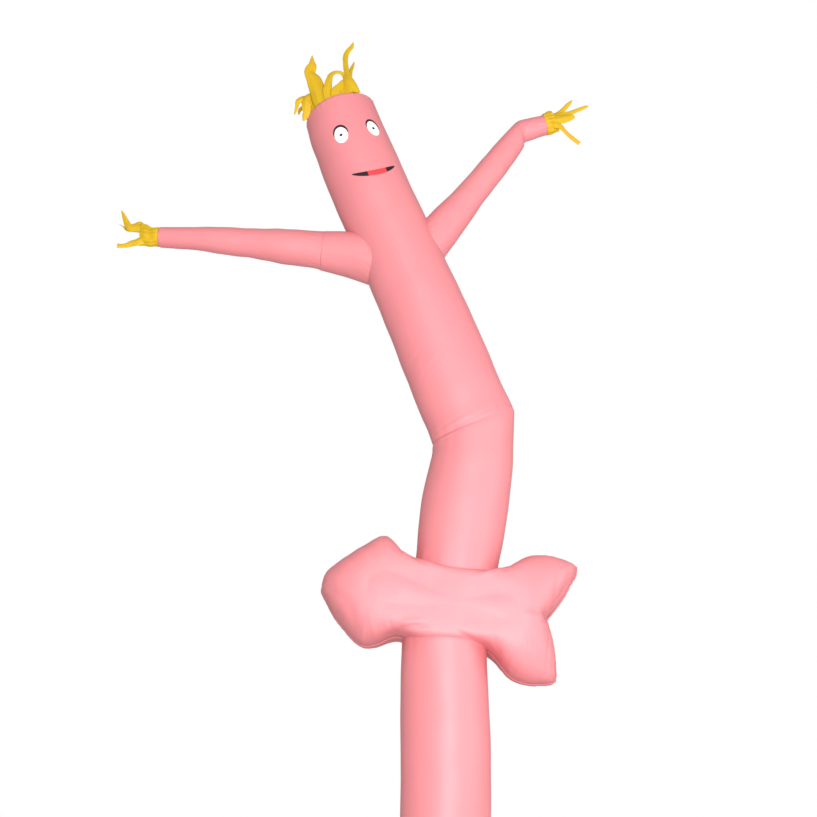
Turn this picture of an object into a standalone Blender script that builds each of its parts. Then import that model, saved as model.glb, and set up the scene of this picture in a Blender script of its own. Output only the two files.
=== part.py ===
"""Inflatable air dancer, standing blown up: a nylon tube figure with two tapered arms,
an arrow sewn across its leg, yellow cuffs and crown with streamers, and a face of patches.

Metres, +Z up. The origin is the middle of the open mouth that the figure stands on,
and the face looks along -Y. The whole centre line lies in the plane y = 0.
"""
import math

import bmesh
import bpy
import numpy as np

# Cloth
WALL = 0.002
GAP = 0.0003
HEM_WALL = 0.004
HEM_HEIGHT = 0.050
PATCH = 0.001

# How many flats a tube, an arm, a cuff and the crown have
TUBE_SIDES = 28
ARM_SIDES = 16
BAND_SIDES = 24
CROWN_SIDES = 32

# Leg, from the mouth up into the arrow. Columns: x, z, tilt of the section in degrees
# (its right side up), half width, half depth.
LEG_ROWS = (
    (0.000, 0.000, 0.0, 0.2285, 0.2285),
    (0.000, HEM_HEIGHT, 0.0, 0.2285, 0.2285),
    (0.000, HEM_HEIGHT + 0.004, 0.0, 0.2285, 0.2285),
    (0.004, 0.320, -2.0, 0.2285, 0.2285),
    (0.024, 0.720, -4.0, 0.2290, 0.2285),
    (0.052, 1.100, -3.0, 0.2290, 0.2285),
    (0.071, 1.420, -1.0, 0.2300, 0.2285),
    (0.073, 1.770, 0.0, 0.2350, 0.2285),
    (0.070, 2.020, 0.0, 0.2320, 0.2285),
    (0.071, 2.210, 0.0, 0.2265, 0.2270),
    (0.080, 2.410, -4.0, 0.2265, 0.2265),
)

# Body, from inside the arrow over the bend to the rim of the head. Same columns.
BODY_ROWS = (
    (0.115, 2.510, -7.0, 0.2265, 0.2265),
    (0.150, 2.720, -7.0, 0.2285, 0.2280),
    (0.169, 2.850, -7.0, 0.2370, 0.2285),
    (0.190, 3.000, -8.0, 0.2385, 0.2285),
    (0.214, 3.140, -7.0, 0.2360, 0.2285),
    (0.232, 3.250, -2.0, 0.2330, 0.2285),
    (0.243, 3.350, 8.0, 0.2330, 0.2240),
    (0.2515, 3.470, 23.6, 0.2548, 0.2050),
    (0.219, 3.560, 23.0, 0.2520, 0.2150),
    (0.181, 3.650, 22.0, 0.2520, 0.2250),
    (0.1255, 3.794, 21.5, 0.2515, 0.2285),
    (0.069, 3.944, 21.5, 0.2490, 0.2285),
    (-0.0465, 4.252, 21.5, 0.2415, 0.2285),
    (-0.122, 4.440, 21.5, 0.2385, 0.2285),
    (-0.200, 4.640, 21.5, 0.2375, 0.2285),
    (-0.3055, 4.895, 21.5, 0.2375, 0.2285),
    (-0.403, 5.147, 21.5, 0.2375, 0.2285),
    (-0.467, 5.318, 21.5, 0.2345, 0.2285),
    (-0.506, 5.420, 21.0, 0.2315, 0.2275),
    (-0.546, 5.548, 20.0, 0.2240, 0.2200),
)

# The head closes over its rim. Columns: rise along the head, how far the edge has drawn in.
SHOULDER = ((0.009, 0.006), (0.016, 0.017), (0.019, 0.034), (0.020, 0.060))

# Arms. Columns: x, z, heading of the arm in degrees from +X, half width, half depth.
LEFT_ARM_ROWS = (
    (-0.250, 4.545, 173.0, 0.1750, 0.1700),
    (-0.400, 4.563, 173.0, 0.1500, 0.1480),
    (-0.520, 4.585, 173.0, 0.1300, 0.1290),
    (-0.630, 4.6025, 173.0, 0.1180, 0.1180),
    (-0.820, 4.627, 173.0, 0.1065, 0.1065),
    (-1.013, 4.650, 173.5, 0.0940, 0.0940),
    (-1.200, 4.668, 174.5, 0.0820, 0.0820),
    (-1.400, 4.684, 175.5, 0.0700, 0.0700),
    (-1.620, 4.696, 177.0, 0.0575, 0.0575),
)
LEFT_SEAM = 3
RIGHT_ARM_ROWS = (
    (-0.060, 4.555, 53.5, 0.1300, 0.1280),
    (0.010, 4.652, 53.5, 0.1220, 0.1210),
    (0.076, 4.744, 53.5, 0.1158, 0.1150),
    (0.211, 4.9195, 53.5, 0.0960, 0.0960),
    (0.400, 5.178, 53.5, 0.0830, 0.0830),
    (0.515, 5.340, 52.0, 0.0750, 0.0750),
    (0.551, 5.390, 38.0, 0.0720, 0.0720),
    (0.581, 5.435, 18.0, 0.0710, 0.0640),
    (0.640, 5.455, 17.0, 0.0680, 0.0650),
    (0.728, 5.4825, 17.0, 0.0640, 0.0640),
)

# Cuffs, then the narrow strip that the fingers grow from. Same columns as the arms.
LEFT_CUFF_ROWS = (
    (-1.6203, 4.696, 177.0, 0.0580, 0.0580),
    (-1.668, 4.697, 176.0, 0.0585, 0.0500),
    (-1.712, 4.710, 176.0, 0.0700, 0.0380),
    (-1.734, 4.716, 177.0, 0.0750, 0.0310),
)
LEFT_STRIP_ROWS = (
    (-1.7343, 4.716, 177.0, 0.0750, 0.0310),
    (-1.7660, 4.719, 177.0, 0.0740, 0.0270),
)
RIGHT_CUFF_ROWS = (
    (0.7283, 5.4826, 17.0, 0.0645, 0.0645),
    (0.752, 5.495, 17.0, 0.0710, 0.0580),
    (0.779, 5.508, 18.0, 0.0720, 0.0450),
    (0.797, 5.515, 19.0, 0.0680, 0.0380),
)
RIGHT_STRIP_ROWS = (
    (0.7973, 5.5151, 19.0, 0.0680, 0.0380),
    (0.8260, 5.5250, 19.0, 0.0640, 0.0330),
)

# Crown and hair strip. Columns: rise above the rim, shift to the right, half width.
CROWN_ROWS = (
    (0.0203, -0.020, 0.188),
    (0.060, -0.020, 0.184),
    (0.095, -0.020, 0.180),
    (0.118, -0.020, 0.176),
)
HAIR_STRIP_ROWS = (
    (0.1183, -0.020, 0.176),
    (0.140, -0.020, 0.173),
)

# Streamers. Columns of a streamer: name, side of the strip that it grows from (-1 front,
# 1 back), then its points from root to tip with the columns x, y, z, width.
LEFT_FINGERS = (
    ("pointing", -1, ((-1.757, -0.020, 4.768, 0.036), (-1.792, -0.016, 4.776, 0.032),
                      (-1.820, -0.010, 4.800, 0.026), (-1.845, -0.006, 4.838, 0.020),
                      (-1.866, -0.004, 4.876, 0.007))),
    ("small", 1, ((-1.757, 0.022, 4.746, 0.022), (-1.795, 0.020, 4.750, 0.018),
                  (-1.828, 0.016, 4.749, 0.012), (-1.866, 0.012, 4.772, 0.005))),
    ("curled", 1, ((-1.757, 0.015, 4.780, 0.020), (-1.768, 0.026, 4.803, 0.018),
                   (-1.788, 0.034, 4.806, 0.014), (-1.806, 0.038, 4.794, 0.006))),
    ("lower", -1, ((-1.757, -0.018, 4.670, 0.034), (-1.800, -0.016, 4.662, 0.026),
                   (-1.835, -0.012, 4.653, 0.026), (-1.873, -0.010, 4.648, 0.024))),
)
RIGHT_FINGERS = (
    ("upper", 1, ((0.818, 0.024, 5.562, 0.030), (0.838, 0.022, 5.588, 0.030),
                  (0.872, 0.018, 5.632, 0.026), (0.911, 0.014, 5.676, 0.010))),
    ("long", -1, ((0.818, -0.026, 5.548, 0.036), (0.862, -0.024, 5.560, 0.030),
                  (0.905, -0.020, 5.574, 0.018), (0.955, -0.014, 5.593, 0.016),
                  (1.012, -0.010, 5.620, 0.008))),
    ("stub", 1, ((0.818, 0.026, 5.506, 0.052), (0.866, 0.022, 5.520, 0.050),
                 (0.914, 0.020, 5.536, 0.036))),
    ("hanging", -1, ((0.818, -0.022, 5.482, 0.026), (0.842, -0.030, 5.446, 0.026),
                     (0.884, -0.034, 5.392, 0.026), (0.942, -0.036, 5.330, 0.024))),
)
# Hair. Columns: name, place round the strip in degrees (-90 is the front), points as above.
HAIR = (
    ("low_left", 170.0, ((-0.798, 0.030, 5.654, 0.012), (-0.817, 0.032, 5.622, 0.018),
                         (-0.814, 0.030, 5.545, 0.030), (-0.800, 0.026, 5.486, 0.010))),
    ("inner_left", -172.0, ((-0.798, -0.026, 5.658, 0.012), (-0.817, -0.030, 5.626, 0.018),
                            (-0.810, -0.036, 5.560, 0.024), (-0.796, -0.040, 5.494, 0.010))),
    ("outer_left", -148.0, ((-0.772, -0.096, 5.674, 0.014), (-0.804, -0.102, 5.664, 0.018),
                            (-0.824, -0.104, 5.620, 0.024), (-0.829, -0.104, 5.560, 0.024),
                            (-0.833, -0.104, 5.504, 0.012))),
    ("tall_left", -122.0, ((-0.716, -0.146, 5.695, 0.088), (-0.731, -0.140, 5.755, 0.080),
                           (-0.746, -0.134, 5.800, 0.058), (-0.741, -0.128, 5.852, 0.036),
                           (-0.741, -0.124, 5.908, 0.008))),
    ("loop", -96.0, ((-0.640, -0.165, 5.740, 0.036), (-0.628, -0.142, 5.795, 0.026),
                     (-0.606, -0.126, 5.830, 0.024), (-0.576, -0.116, 5.832, 0.020),
                     (-0.556, -0.110, 5.806, 0.018), (-0.560, -0.108, 5.768, 0.010))),
    ("broad_right", -56.0, ((-0.538, -0.150, 5.760, 0.065), (-0.528, -0.138, 5.806, 0.065),
                            (-0.522, -0.130, 5.846, 0.030))),
    ("tall_right", -38.0, ((-0.492, -0.100, 5.800, 0.044), (-0.514, -0.086, 5.870, 0.034),
                           (-0.533, -0.072, 5.930, 0.027), (-0.528, -0.062, 5.988, 0.026),
                           (-0.505, -0.054, 6.032, 0.024), (-0.474, -0.050, 6.088, 0.006))),
    ("prong", -16.0, ((-0.470, -0.046, 5.800, 0.036), (-0.462, -0.040, 5.845, 0.024),
                      (-0.452, -0.036, 5.902, 0.008))),
)
STRAND = 0.0024
ROOT_THICK = 0.0060

# Arrow: middle of the crossing, turn, deepest half thickness and half width of its gusset.
ARROW_X, ARROW_Z = 0.093, 2.458
ARROW_TURN = math.radians(8.7)
ARROW_DEPTH = 0.244
GUSSET = 0.030
GUSSET_BULGE = 0.005
# Outline as rows from the tip to the two tail ends, along the shaft and out from its middle.
# Columns: along, inner edge and outer edge of the upper half, then of the lower half.
ARROW_ROWS = (
    (-0.686, 0.000, 0.030, -0.686, 0.000, 0.022),
    (-0.679, 0.000, 0.064, -0.679, 0.000, 0.042),
    (-0.656, 0.000, 0.098, -0.656, 0.000, 0.072),
    (-0.595, 0.000, 0.158, -0.595, 0.000, 0.152),
    (-0.532, 0.000, 0.216, -0.532, 0.000, 0.211),
    (-0.469, 0.000, 0.268, -0.469, 0.000, 0.263),
    (-0.424, 0.000, 0.304, -0.424, 0.000, 0.284),
    (-0.395, 0.000, 0.315, -0.395, 0.000, 0.284),
    (-0.368, 0.000, 0.310, -0.368, 0.000, 0.276),
    (-0.329, 0.000, 0.280, -0.329, 0.000, 0.257),
    (-0.288, 0.000, 0.237, -0.288, 0.000, 0.228),
    (-0.234, 0.000, 0.208, -0.234, 0.000, 0.210),
    (-0.120, 0.000, 0.183, -0.120, 0.000, 0.230),
    (0.000, 0.000, 0.167, 0.000, 0.000, 0.221),
    (0.120, 0.000, 0.178, 0.120, 0.000, 0.207),
    (0.222, 0.000, 0.206, 0.222, 0.000, 0.208),
    (0.289, 0.000, 0.233, 0.289, 0.000, 0.247),
    (0.327, 0.000, 0.268, 0.327, 0.000, 0.286),
    (0.373, 0.000, 0.307, 0.373, 0.000, 0.326),
    (0.427, 0.000, 0.329, 0.427, 0.000, 0.346),
    (0.490, 0.000, 0.338, 0.490, 0.000, 0.351),
    (0.532, 0.000, 0.338, 0.532, 0.000, 0.344),
    (0.575, 0.072, 0.335, 0.556, 0.066, 0.340),
    (0.612, 0.142, 0.327, 0.577, 0.114, 0.336),
    (0.640, 0.216, 0.318, 0.596, 0.183, 0.329),
    (0.662, 0.262, 0.308, 0.614, 0.280, 0.314),
)
ARROW_COLUMNS = 5
# Squareness of the puff over the leg and at both ends, and how far from the leg it changes.
BOX_AT_LEG, BOX_AT_ENDS, BOX_REACH = 6.0, 1.45, 0.26

# Face. Stations are metres below the rim along the head, turns are degrees round it,
# from the front towards +X. Columns: name, turn, station.
EYES = (("left", -17.7, 0.267), ("right", 34.4, 0.274))
EYE_HALF_WIDTH = 0.041
EYE_HALF_HEIGHT = 0.055
PUPIL_RADIUS = 0.0085
LASH_THICK = 0.0145
LASH_FROM, LASH_TO = -5.0, 168.0
MOUTH_FROM, MOUTH_TO = -25.0, 43.0
MOUTH_STATION = 0.548
MOUTH_LEAN = 0.0155
MOUTH_DIP = 0.0415
MOUTH_THICK = 0.036
# Columns: name, where the piece starts and ends along the mouth, both as a share of it.
MOUTH_PIECES = (("black_left", 0.0, 0.32), ("red", 0.32, 0.735), ("black_right", 0.735, 1.0))

# Colour, roughness
PINK = ((0.880, 0.330, 0.360, 1.0), 0.55)
YELLOW = ((0.900, 0.600, 0.040, 1.0), 0.60)
WHITE = ((0.900, 0.900, 0.900, 1.0), 0.60)
BLACK = ((0.020, 0.012, 0.014, 1.0), 0.60)
RED = ((0.780, 0.060, 0.060, 1.0), 0.60)


def clear_scene():
    for thing in list(bpy.data.objects):
        bpy.data.objects.remove(thing)


def material(name, finish):
    made = bpy.data.materials.get(name) or bpy.data.materials.new(name)
    made.use_nodes = True
    shader = made.node_tree.nodes["Principled BSDF"]
    shader.inputs["Base Color"].default_value = finish[0]
    shader.inputs["Roughness"].default_value = finish[1]
    return made


def make_object(name, points, faces, finish=None):
    """One closed body from points and faces, its faces turned outwards."""
    mesh = bpy.data.meshes.new(name)
    mesh.from_pydata(np.asarray(points).tolist(), [], [list(map(int, face)) for face in faces])
    sheet = bmesh.new()
    sheet.from_mesh(mesh)
    bmesh.ops.remove_doubles(sheet, verts=sheet.verts, dist=0.00002)
    bmesh.ops.triangulate(sheet, faces=sheet.faces)
    bmesh.ops.recalc_face_normals(sheet, faces=sheet.faces)
    sheet.to_mesh(mesh)
    sheet.free()
    made = bpy.data.objects.new(name, mesh)
    bpy.context.scene.collection.objects.link(made)
    if finish is not None:
        mesh.materials.append(finish)
        mesh.shade_smooth()
        mesh.set_sharp_from_angle(angle=math.radians(40))
    return made


def tilted_rings(rows, sides):
    """Elliptic sections of a tube, with rows that give the tilt of each section."""
    x, z, tilt, width, depth = (np.array(column)[:, None] for column in zip(*rows))
    turn = np.radians(tilt)
    around = np.linspace(0.0, 2.0 * math.pi, sides, endpoint=False)[None, :]
    across = width * np.cos(around)
    return np.stack((x + across * np.cos(turn),
                     depth * np.sin(around) + 0.0 * x,
                     z + across * np.sin(turn)), axis=-1)


def headed_rings(rows, sides):
    """The same for rows that give the heading of the tube instead of the tilt."""
    return tilted_rings([(x, z, heading - 90.0, width, depth) for x, z, heading, width, depth in rows], sides)


def ring_normals(rings):
    """Outward normals of a grid of rings, from the differences along it and around it.

    At both ends they lie in the plane of the ring, so that the cloth is cut off square.
    """
    along = np.gradient(rings, axis=0)
    around = np.roll(rings, -1, axis=1) - np.roll(rings, 1, axis=1)
    normal = np.cross(around, along)
    middle = rings.mean(axis=1, keepdims=True)
    quarter = rings.shape[1] // 4
    for end in (0, -1):
        level = np.cross(rings[end, 0] - middle[end, 0], rings[end, quarter] - middle[end, 0])
        level /= np.linalg.norm(level)
        normal[end] -= (normal[end] @ level)[:, None] * level
    normal /= np.linalg.norm(normal, axis=-1, keepdims=True)
    inward = (normal * (rings - middle)).sum() < 0.0
    return -normal if inward else normal


def ring_faces(count, sides, start=0):
    ring, side = (index.ravel() for index in np.mgrid[0:count - 1, 0:sides])
    after = (side + 1) % sides
    return np.stack((start + ring * sides + side, start + ring * sides + after,
                     start + (ring + 1) * sides + after, start + (ring + 1) * sides + side), axis=1)


def end_faces(sides, outer_start, inner_start):
    side = np.arange(sides)
    after = (side + 1) % sides
    return np.stack((outer_start + side, outer_start + after,
                     inner_start + after, inner_start + side), axis=1)


def open_shell(name, rings, finish, wall=WALL):
    """A hollow tube of cloth, open at both ends; wall may differ from ring to ring."""
    count, sides, _ = rings.shape
    thickness = np.broadcast_to(np.asarray(wall, dtype=float), (count,))[:, None, None]
    inner = rings - thickness * ring_normals(rings)
    half = count * sides
    faces = np.vstack((ring_faces(count, sides), ring_faces(count, sides, half),
                       end_faces(sides, 0, half),
                       end_faces(sides, half - sides, 2 * half - sides)))
    points = np.vstack((rings.reshape(-1, 3), inner.reshape(-1, 3)))
    return make_object(name, points, faces, finish)


def filled_tube(name, rings, grow=0.0):
    """A solid of the same form, for cutting."""
    count, sides, _ = rings.shape
    grown = rings + grow * ring_normals(rings)
    side = np.arange(sides)
    faces = [list(face) for face in ring_faces(count, sides)]
    faces.append(list(side[::-1]))
    faces.append(list((count - 1) * sides + side))
    return make_object(name, grown.reshape(-1, 3), faces)


def apply_boolean(target, tool, operation):
    cut = target.modifiers.new(operation.lower(), "BOOLEAN")
    cut.operation = operation
    cut.object = tool
    cut.solver = "EXACT"
    cut.use_self = operation == "UNION"
    graph = bpy.context.evaluated_depsgraph_get()
    result = bpy.data.meshes.new_from_object(target.evaluated_get(graph))
    target.modifiers.clear()
    target.data = result
    bpy.data.objects.remove(tool)


def cut_away(target, *tools):
    for tool in tools:
        apply_boolean(target, tool, "DIFFERENCE")


def join_on(target, *tools):
    for tool in tools:
        apply_boolean(target, tool, "UNION")


def head_axes():
    """Middle of the rim, the direction across it and the direction of the head."""
    x, z, tilt, _, _ = BODY_ROWS[-1]
    turn = math.radians(tilt)
    return (np.array((x, 0.0, z)), np.array((math.cos(turn), 0.0, math.sin(turn))),
            np.array((-math.sin(turn), 0.0, math.cos(turn))))


def body_rings(sides=TUBE_SIDES):
    """The body's sections and, past the rim, the ones that close over the head."""
    x, z, tilt, width, depth = BODY_ROWS[-1]
    turn = math.radians(tilt)
    closing = [(x - rise * math.sin(turn), z + rise * math.cos(turn), tilt, width - inset, depth - inset)
               for rise, inset in SHOULDER]
    return tilted_rings(list(BODY_ROWS) + closing, sides)


def crown_rings(rows):
    rim, across, up = head_axes()
    around = np.linspace(0.0, 2.0 * math.pi, CROWN_SIDES, endpoint=False)[None, :, None]
    rise, shift, half = (np.array(column)[:, None, None] for column in zip(*rows))
    back = np.array((0.0, 1.0, 0.0))
    return (rim + rise * up + shift * across
            + half * (np.cos(around) * across + np.sin(around) * back))


def ribbon(name, points, widths, facing_root):
    """A flat strand: a four-sided section carried along points, wide across the picture.

    At its root it lies along the strip that it grows from, whose outward direction is
    facing_root, and towards its tip it turns to face the front.
    """
    path = np.asarray(points, dtype=float)
    along = np.gradient(path, axis=0)
    along /= np.linalg.norm(along, axis=1, keepdims=True)
    blend = np.linspace(0.0, 1.0, len(path))[:, None] ** 0.5
    turned = np.array((0.0, math.copysign(1.0, facing_root[1]), 0.0))
    facing = (1.0 - blend) * np.asarray(facing_root) + blend * turned
    across = np.cross(along, facing)
    across /= np.linalg.norm(across, axis=1, keepdims=True)
    facing = np.cross(across, along)
    half_width = 0.5 * np.asarray(widths)[:, None]
    half_thick = 0.5 * np.where(np.arange(len(path)) < 2, ROOT_THICK, STRAND)[:, None]
    corners = np.stack((path + half_width * across + half_thick * facing,
                        path - half_width * across + half_thick * facing,
                        path - half_width * across - half_thick * facing,
                        path + half_width * across - half_thick * facing), axis=1)
    count = len(path)
    faces = [list(face) for face in ring_faces(count, 4)]
    faces.append([3, 2, 1, 0])
    faces.append([4 * count - 4, 4 * count - 3, 4 * count - 2, 4 * count - 1])
    return make_object(name, corners.reshape(-1, 3), faces)


def finger_strip(name, rows, fingers, finish):
    """The narrow strip at the end of a cuff with its fingers grown on."""
    strip = open_shell(name, headed_rings(rows, BAND_SIDES), finish)
    first, last = rows
    turn = math.radians(last[2])
    upward = np.array((-math.sin(turn), 0.0, math.cos(turn)))
    middle = np.array((0.4 * first[0] + 0.6 * last[0], 0.0, 0.4 * first[1] + 0.6 * last[1]))
    half_width, half_depth = last[3] - 0.5 * WALL, 0.4 * first[4] + 0.6 * last[4] - 0.5 * WALL
    for finger, side, table in fingers:
        root = np.array(table[0][:3])
        off = float((root - middle) @ upward)
        share = min(0.95, abs(off) / half_width)
        wall_y = side * half_depth * math.sqrt(1.0 - share * share)
        normal = np.array((0.0, wall_y / half_depth ** 2, 0.0)) + off / half_width ** 2 * upward
        normal /= np.linalg.norm(normal)
        seat = middle + off * upward + np.array((0.0, wall_y, 0.0))
        onward = np.array(table[1][:3]) - seat
        onward -= (onward @ normal) * normal
        onward /= np.linalg.norm(onward)
        points = [seat - 0.006 * onward, seat + 0.006 * onward] + [np.array(row[:3]) for row in table[1:]]
        widths = [table[0][3], table[0][3]] + [row[3] for row in table[1:]]
        join_on(strip, ribbon(finger, points, widths, normal))
    return strip


def hair_strip(finish):
    """The narrow strip at the top of the crown with its streamers grown on."""
    strip = open_shell("hair_streamers", crown_rings(HAIR_STRIP_ROWS), finish)
    rim, across, up = head_axes()
    low, high = HAIR_STRIP_ROWS
    level = 0.5 * (low[0] + high[0])
    radius = 0.5 * (low[2] + high[2]) - 0.5 * WALL
    for strand, place, table in HAIR:
        turn = math.radians(place)
        outward = math.cos(turn) * across + math.sin(turn) * np.array((0.0, 1.0, 0.0))
        seat = rim + level * up + low[1] * across + radius * outward
        points = [seat - 0.006 * up, seat + 0.006 * up] + [np.array(row[:3]) for row in table]
        widths = [table[0][3], table[0][3]] + [row[3] for row in table]
        join_on(strip, ribbon("strand_" + strand, points, widths, outward))
    return strip


def arrow_plan():
    """The arrow laid flat: grid points of both halves, welded, and its triangles."""
    step = np.linspace(0.0, 1.0, ARROW_COLUMNS + 1)
    rounded, both_ends = np.sin(0.5 * math.pi * step), 0.5 * (1.0 - np.cos(math.pi * step))
    halves = []
    for side, first in ((1.0, 0), (-1.0, 3)):
        grid = []
        for row in ARROW_ROWS:
            along, inner, outer = row[first:first + 3]
            spread = rounded if inner == 0.0 else both_ends
            out = inner + (outer - inner) * spread
            grid.append(np.stack((np.full_like(out, along), side * out), axis=1))
        halves.append(np.array(grid))
    points = np.vstack([half.reshape(-1, 2) for half in halves])
    _, first_of, welded = np.unique(np.round(points, 6), axis=0, return_index=True, return_inverse=True)
    points, welded = points[first_of], welded.ravel()
    row, column = (index.ravel() for index in np.mgrid[0:len(ARROW_ROWS) - 1, 0:ARROW_COLUMNS])
    corner = row * (ARROW_COLUMNS + 1) + column
    faces = []
    for start in (0, halves[0].shape[0] * halves[0].shape[1]):
        a, b = start + corner, start + corner + 1
        c, d = b + ARROW_COLUMNS + 1, a + ARROW_COLUMNS + 1
        faces += [np.stack((a, b, c), axis=1), np.stack((a, c, d), axis=1)]
    return points, welded[np.vstack(faces)]


def outline_of(faces):
    """The rim of a sheet of triangles as one loop of point numbers."""
    sides = np.vstack((faces[:, (0, 1)], faces[:, (1, 2)], faces[:, (2, 0)]))
    ordered = np.sort(sides, axis=1)
    _, first, counts = np.unique(ordered, axis=0, return_index=True, return_counts=True)
    after = {}
    for a, b in ordered[first[counts == 1]]:
        after.setdefault(int(a), []).append(int(b))
        after.setdefault(int(b), []).append(int(a))
    loop = [min(after)]
    while len(loop) < len(after):
        onward = [n for n in after[loop[-1]] if len(loop) < 2 or n != loop[-2]]
        loop.append(onward[0])
    return np.array(loop)


def pillow_heights(points, faces, rim):
    """How far air lifts a sheet held at its rim, as a share of the height at the crossing.

    The square root of the solution of Poisson's equation: over a long strip it is exactly
    a half circle, and it sinks smoothly into corners.
    """
    count = len(points)
    stiff, load = np.zeros((count, count)), np.zeros(count)
    for turn in range(3):
        a, b, c = (faces[:, (turn + k) % 3] for k in range(3))
        to_a, to_b = points[a] - points[c], points[b] - points[c]
        cross = np.abs(to_a[:, 0] * to_b[:, 1] - to_a[:, 1] * to_b[:, 0])
        weight = 0.5 * (to_a * to_b).sum(axis=1) / cross
        for i, j, value in ((a, b, -weight), (b, a, -weight), (a, a, weight), (b, b, weight)):
            np.add.at(stiff, (i, j), value)
        np.add.at(load, c, cross / 6.0)
    free = np.setdiff1d(np.arange(count), rim)
    lift = np.zeros(count)
    lift[free] = np.linalg.solve(stiff[np.ix_(free, free)], load[free])
    middle = np.argmin(np.hypot(points[:, 0], points[:, 1]))
    return np.sqrt(np.clip(lift, 0.0, None) / lift[middle])


def arrow_place(along, out, y):
    return np.stack((ARROW_X + along * math.cos(ARROW_TURN) + out * math.sin(ARROW_TURN), y,
                     ARROW_Z - along * math.sin(ARROW_TURN) + out * math.cos(ARROW_TURN)), axis=-1)


def point_normals(points, faces):
    normal = np.zeros_like(points)
    a, b, c = (points[faces[:, k]] for k in range(3))
    flat = np.cross(b - a, c - a)
    for k in range(3):
        np.add.at(normal, faces[:, k], flat)
    return normal / np.linalg.norm(normal, axis=1, keepdims=True)


def rim_outward(points, rim):
    """Outward direction of the outline, in the arrow's own plane."""
    edge = points[np.roll(rim, -1)] - points[np.roll(rim, 1)]
    normal = np.stack((edge[:, 1], -edge[:, 0]), axis=1)
    normal /= np.linalg.norm(normal, axis=1, keepdims=True)
    here, after = points[rim], points[np.roll(rim, -1)]
    area = (here[:, 0] * after[:, 1] - after[:, 0] * here[:, 1]).sum()
    return normal if area > 0.0 else -normal


class Arrow:
    """Everything that the arrow's pieces share, worked out once."""

    def __init__(self):
        self.plan, self.faces = arrow_plan()
        self.rim = outline_of(self.faces)
        self.outward = rim_outward(self.plan, self.rim)
        share = pillow_heights(self.plan, self.faces, self.rim)
        near_leg = np.exp(-(self.plan[:, 0] / BOX_REACH) ** 2)
        power = BOX_AT_ENDS + (BOX_AT_LEG - BOX_AT_ENDS) * near_leg
        squared = 1.0 - (1.0 - np.minimum(share, 1.0)) ** power + 0.6 * np.maximum(share - 1.0, 0.0)
        self.height = GUSSET + (ARROW_DEPTH - GUSSET) * squared

    def panel_surface(self, side, grow):
        """Outer surface of the front (side -1) or back panel, pushed out by grow."""
        points = arrow_place(self.plan[:, 0], self.plan[:, 1], side * self.height)
        normal = point_normals(points, self.faces)
        normal *= np.sign(side * normal[:, 1:2])
        normal[self.rim] = self.flat_outward()
        return points + grow * normal

    def flat_outward(self):
        origin = arrow_place(np.zeros(1), np.zeros(1), np.zeros(1))
        return arrow_place(self.outward[:, 0], self.outward[:, 1], np.zeros(len(self.rim))) - origin

    def panel(self, name, side, finish):
        outer = self.panel_surface(side, 0.0)
        inner = self.panel_surface(side, -WALL)
        outer[self.rim, 1] += side * 0.5 * GAP
        inner[self.rim, 1] = outer[self.rim, 1]
        count = len(outer)
        after = np.roll(self.rim, -1)
        band = np.stack((self.rim, after, after + count, self.rim + count), axis=1)
        faces = [list(face) for face in self.faces] + [list(face) for face in self.faces[:, ::-1] + count]
        faces += [list(face) for face in band]
        return make_object(name, np.vstack((outer, inner)), faces, finish)

    def whole(self, name, grow):
        """The closed outer form, for cutting the tubes where they meet it."""
        front, back = self.panel_surface(-1.0, grow), self.panel_surface(1.0, grow)
        bulge = self.gusset_rows(GUSSET_BULGE + grow)[1]
        count = len(front)
        after = np.roll(self.rim, -1)
        middle = 2 * count + np.arange(len(self.rim))
        middle_after = np.roll(middle, -1)
        front_band = np.stack((self.rim, after, middle_after, middle), axis=1)
        back_band = np.stack((middle, middle_after, after + count, self.rim + count), axis=1)
        faces = [list(face) for face in self.faces] + [list(face) for face in self.faces + count]
        faces += [list(face) for face in np.vstack((front_band, back_band))]
        return make_object(name, np.vstack((front, back, bulge)), faces)

    def gusset_rows(self, bulge):
        """Three lines round the outline: the front seam, the bulged middle, the back seam."""
        edge = arrow_place(self.plan[self.rim, 0], self.plan[self.rim, 1], np.zeros(len(self.rim)))
        reach = GUSSET - 0.5 * GAP
        outward = self.flat_outward()
        front, back = np.array((0.0, -reach, 0.0)), np.array((0.0, reach, 0.0))
        return np.stack((edge + front, edge + bulge * outward, edge + back))

    def gusset(self, name, side, finish):
        """The strip round the head (side -1) or the tail (1), from crossing to crossing."""
        along, out = self.plan[self.rim, 0], self.plan[self.rim, 1]
        on_side = side * along >= -1e-6
        chosen = np.flatnonzero(on_side)
        breaks = np.flatnonzero(np.diff(chosen) > 1)
        if len(breaks):
            chosen = np.roll(chosen, -(breaks[0] + 1))
        outer = self.gusset_rows(GUSSET_BULGE)[:, chosen]
        inner = outer - WALL * self.flat_outward()[chosen]
        count = len(chosen)
        grid = np.concatenate((outer, inner[::-1]))
        loop = grid.transpose(1, 0, 2)
        sides = loop.shape[1]
        faces = [list(face) for face in ring_faces(count, sides)]
        faces.append(list(range(sides))[::-1])
        faces.append([(count - 1) * sides + k for k in range(sides)])
        return make_object(name, loop.reshape(-1, 3), faces, finish)


def head_surface(turn, station, lift):
    """Points on the head: turn round it in degrees, station below the rim, height above it."""
    rows = np.array(BODY_ROWS)
    steps = np.hypot(np.diff(rows[:, 0]), np.diff(rows[:, 1]))
    reach = np.concatenate(((0.0,), np.cumsum(steps)))
    at = reach[-1] - station
    x, z, tilt, width, depth = (np.interp(at, reach, rows[:, k]) for k in range(5))
    slant, angle = np.radians(tilt), np.radians(turn)
    across = (width + lift) * np.sin(angle)
    return np.stack((x + across * np.cos(slant), -(depth + lift) * np.cos(angle),
                     z + across * np.sin(slant)), axis=-1)


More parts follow.
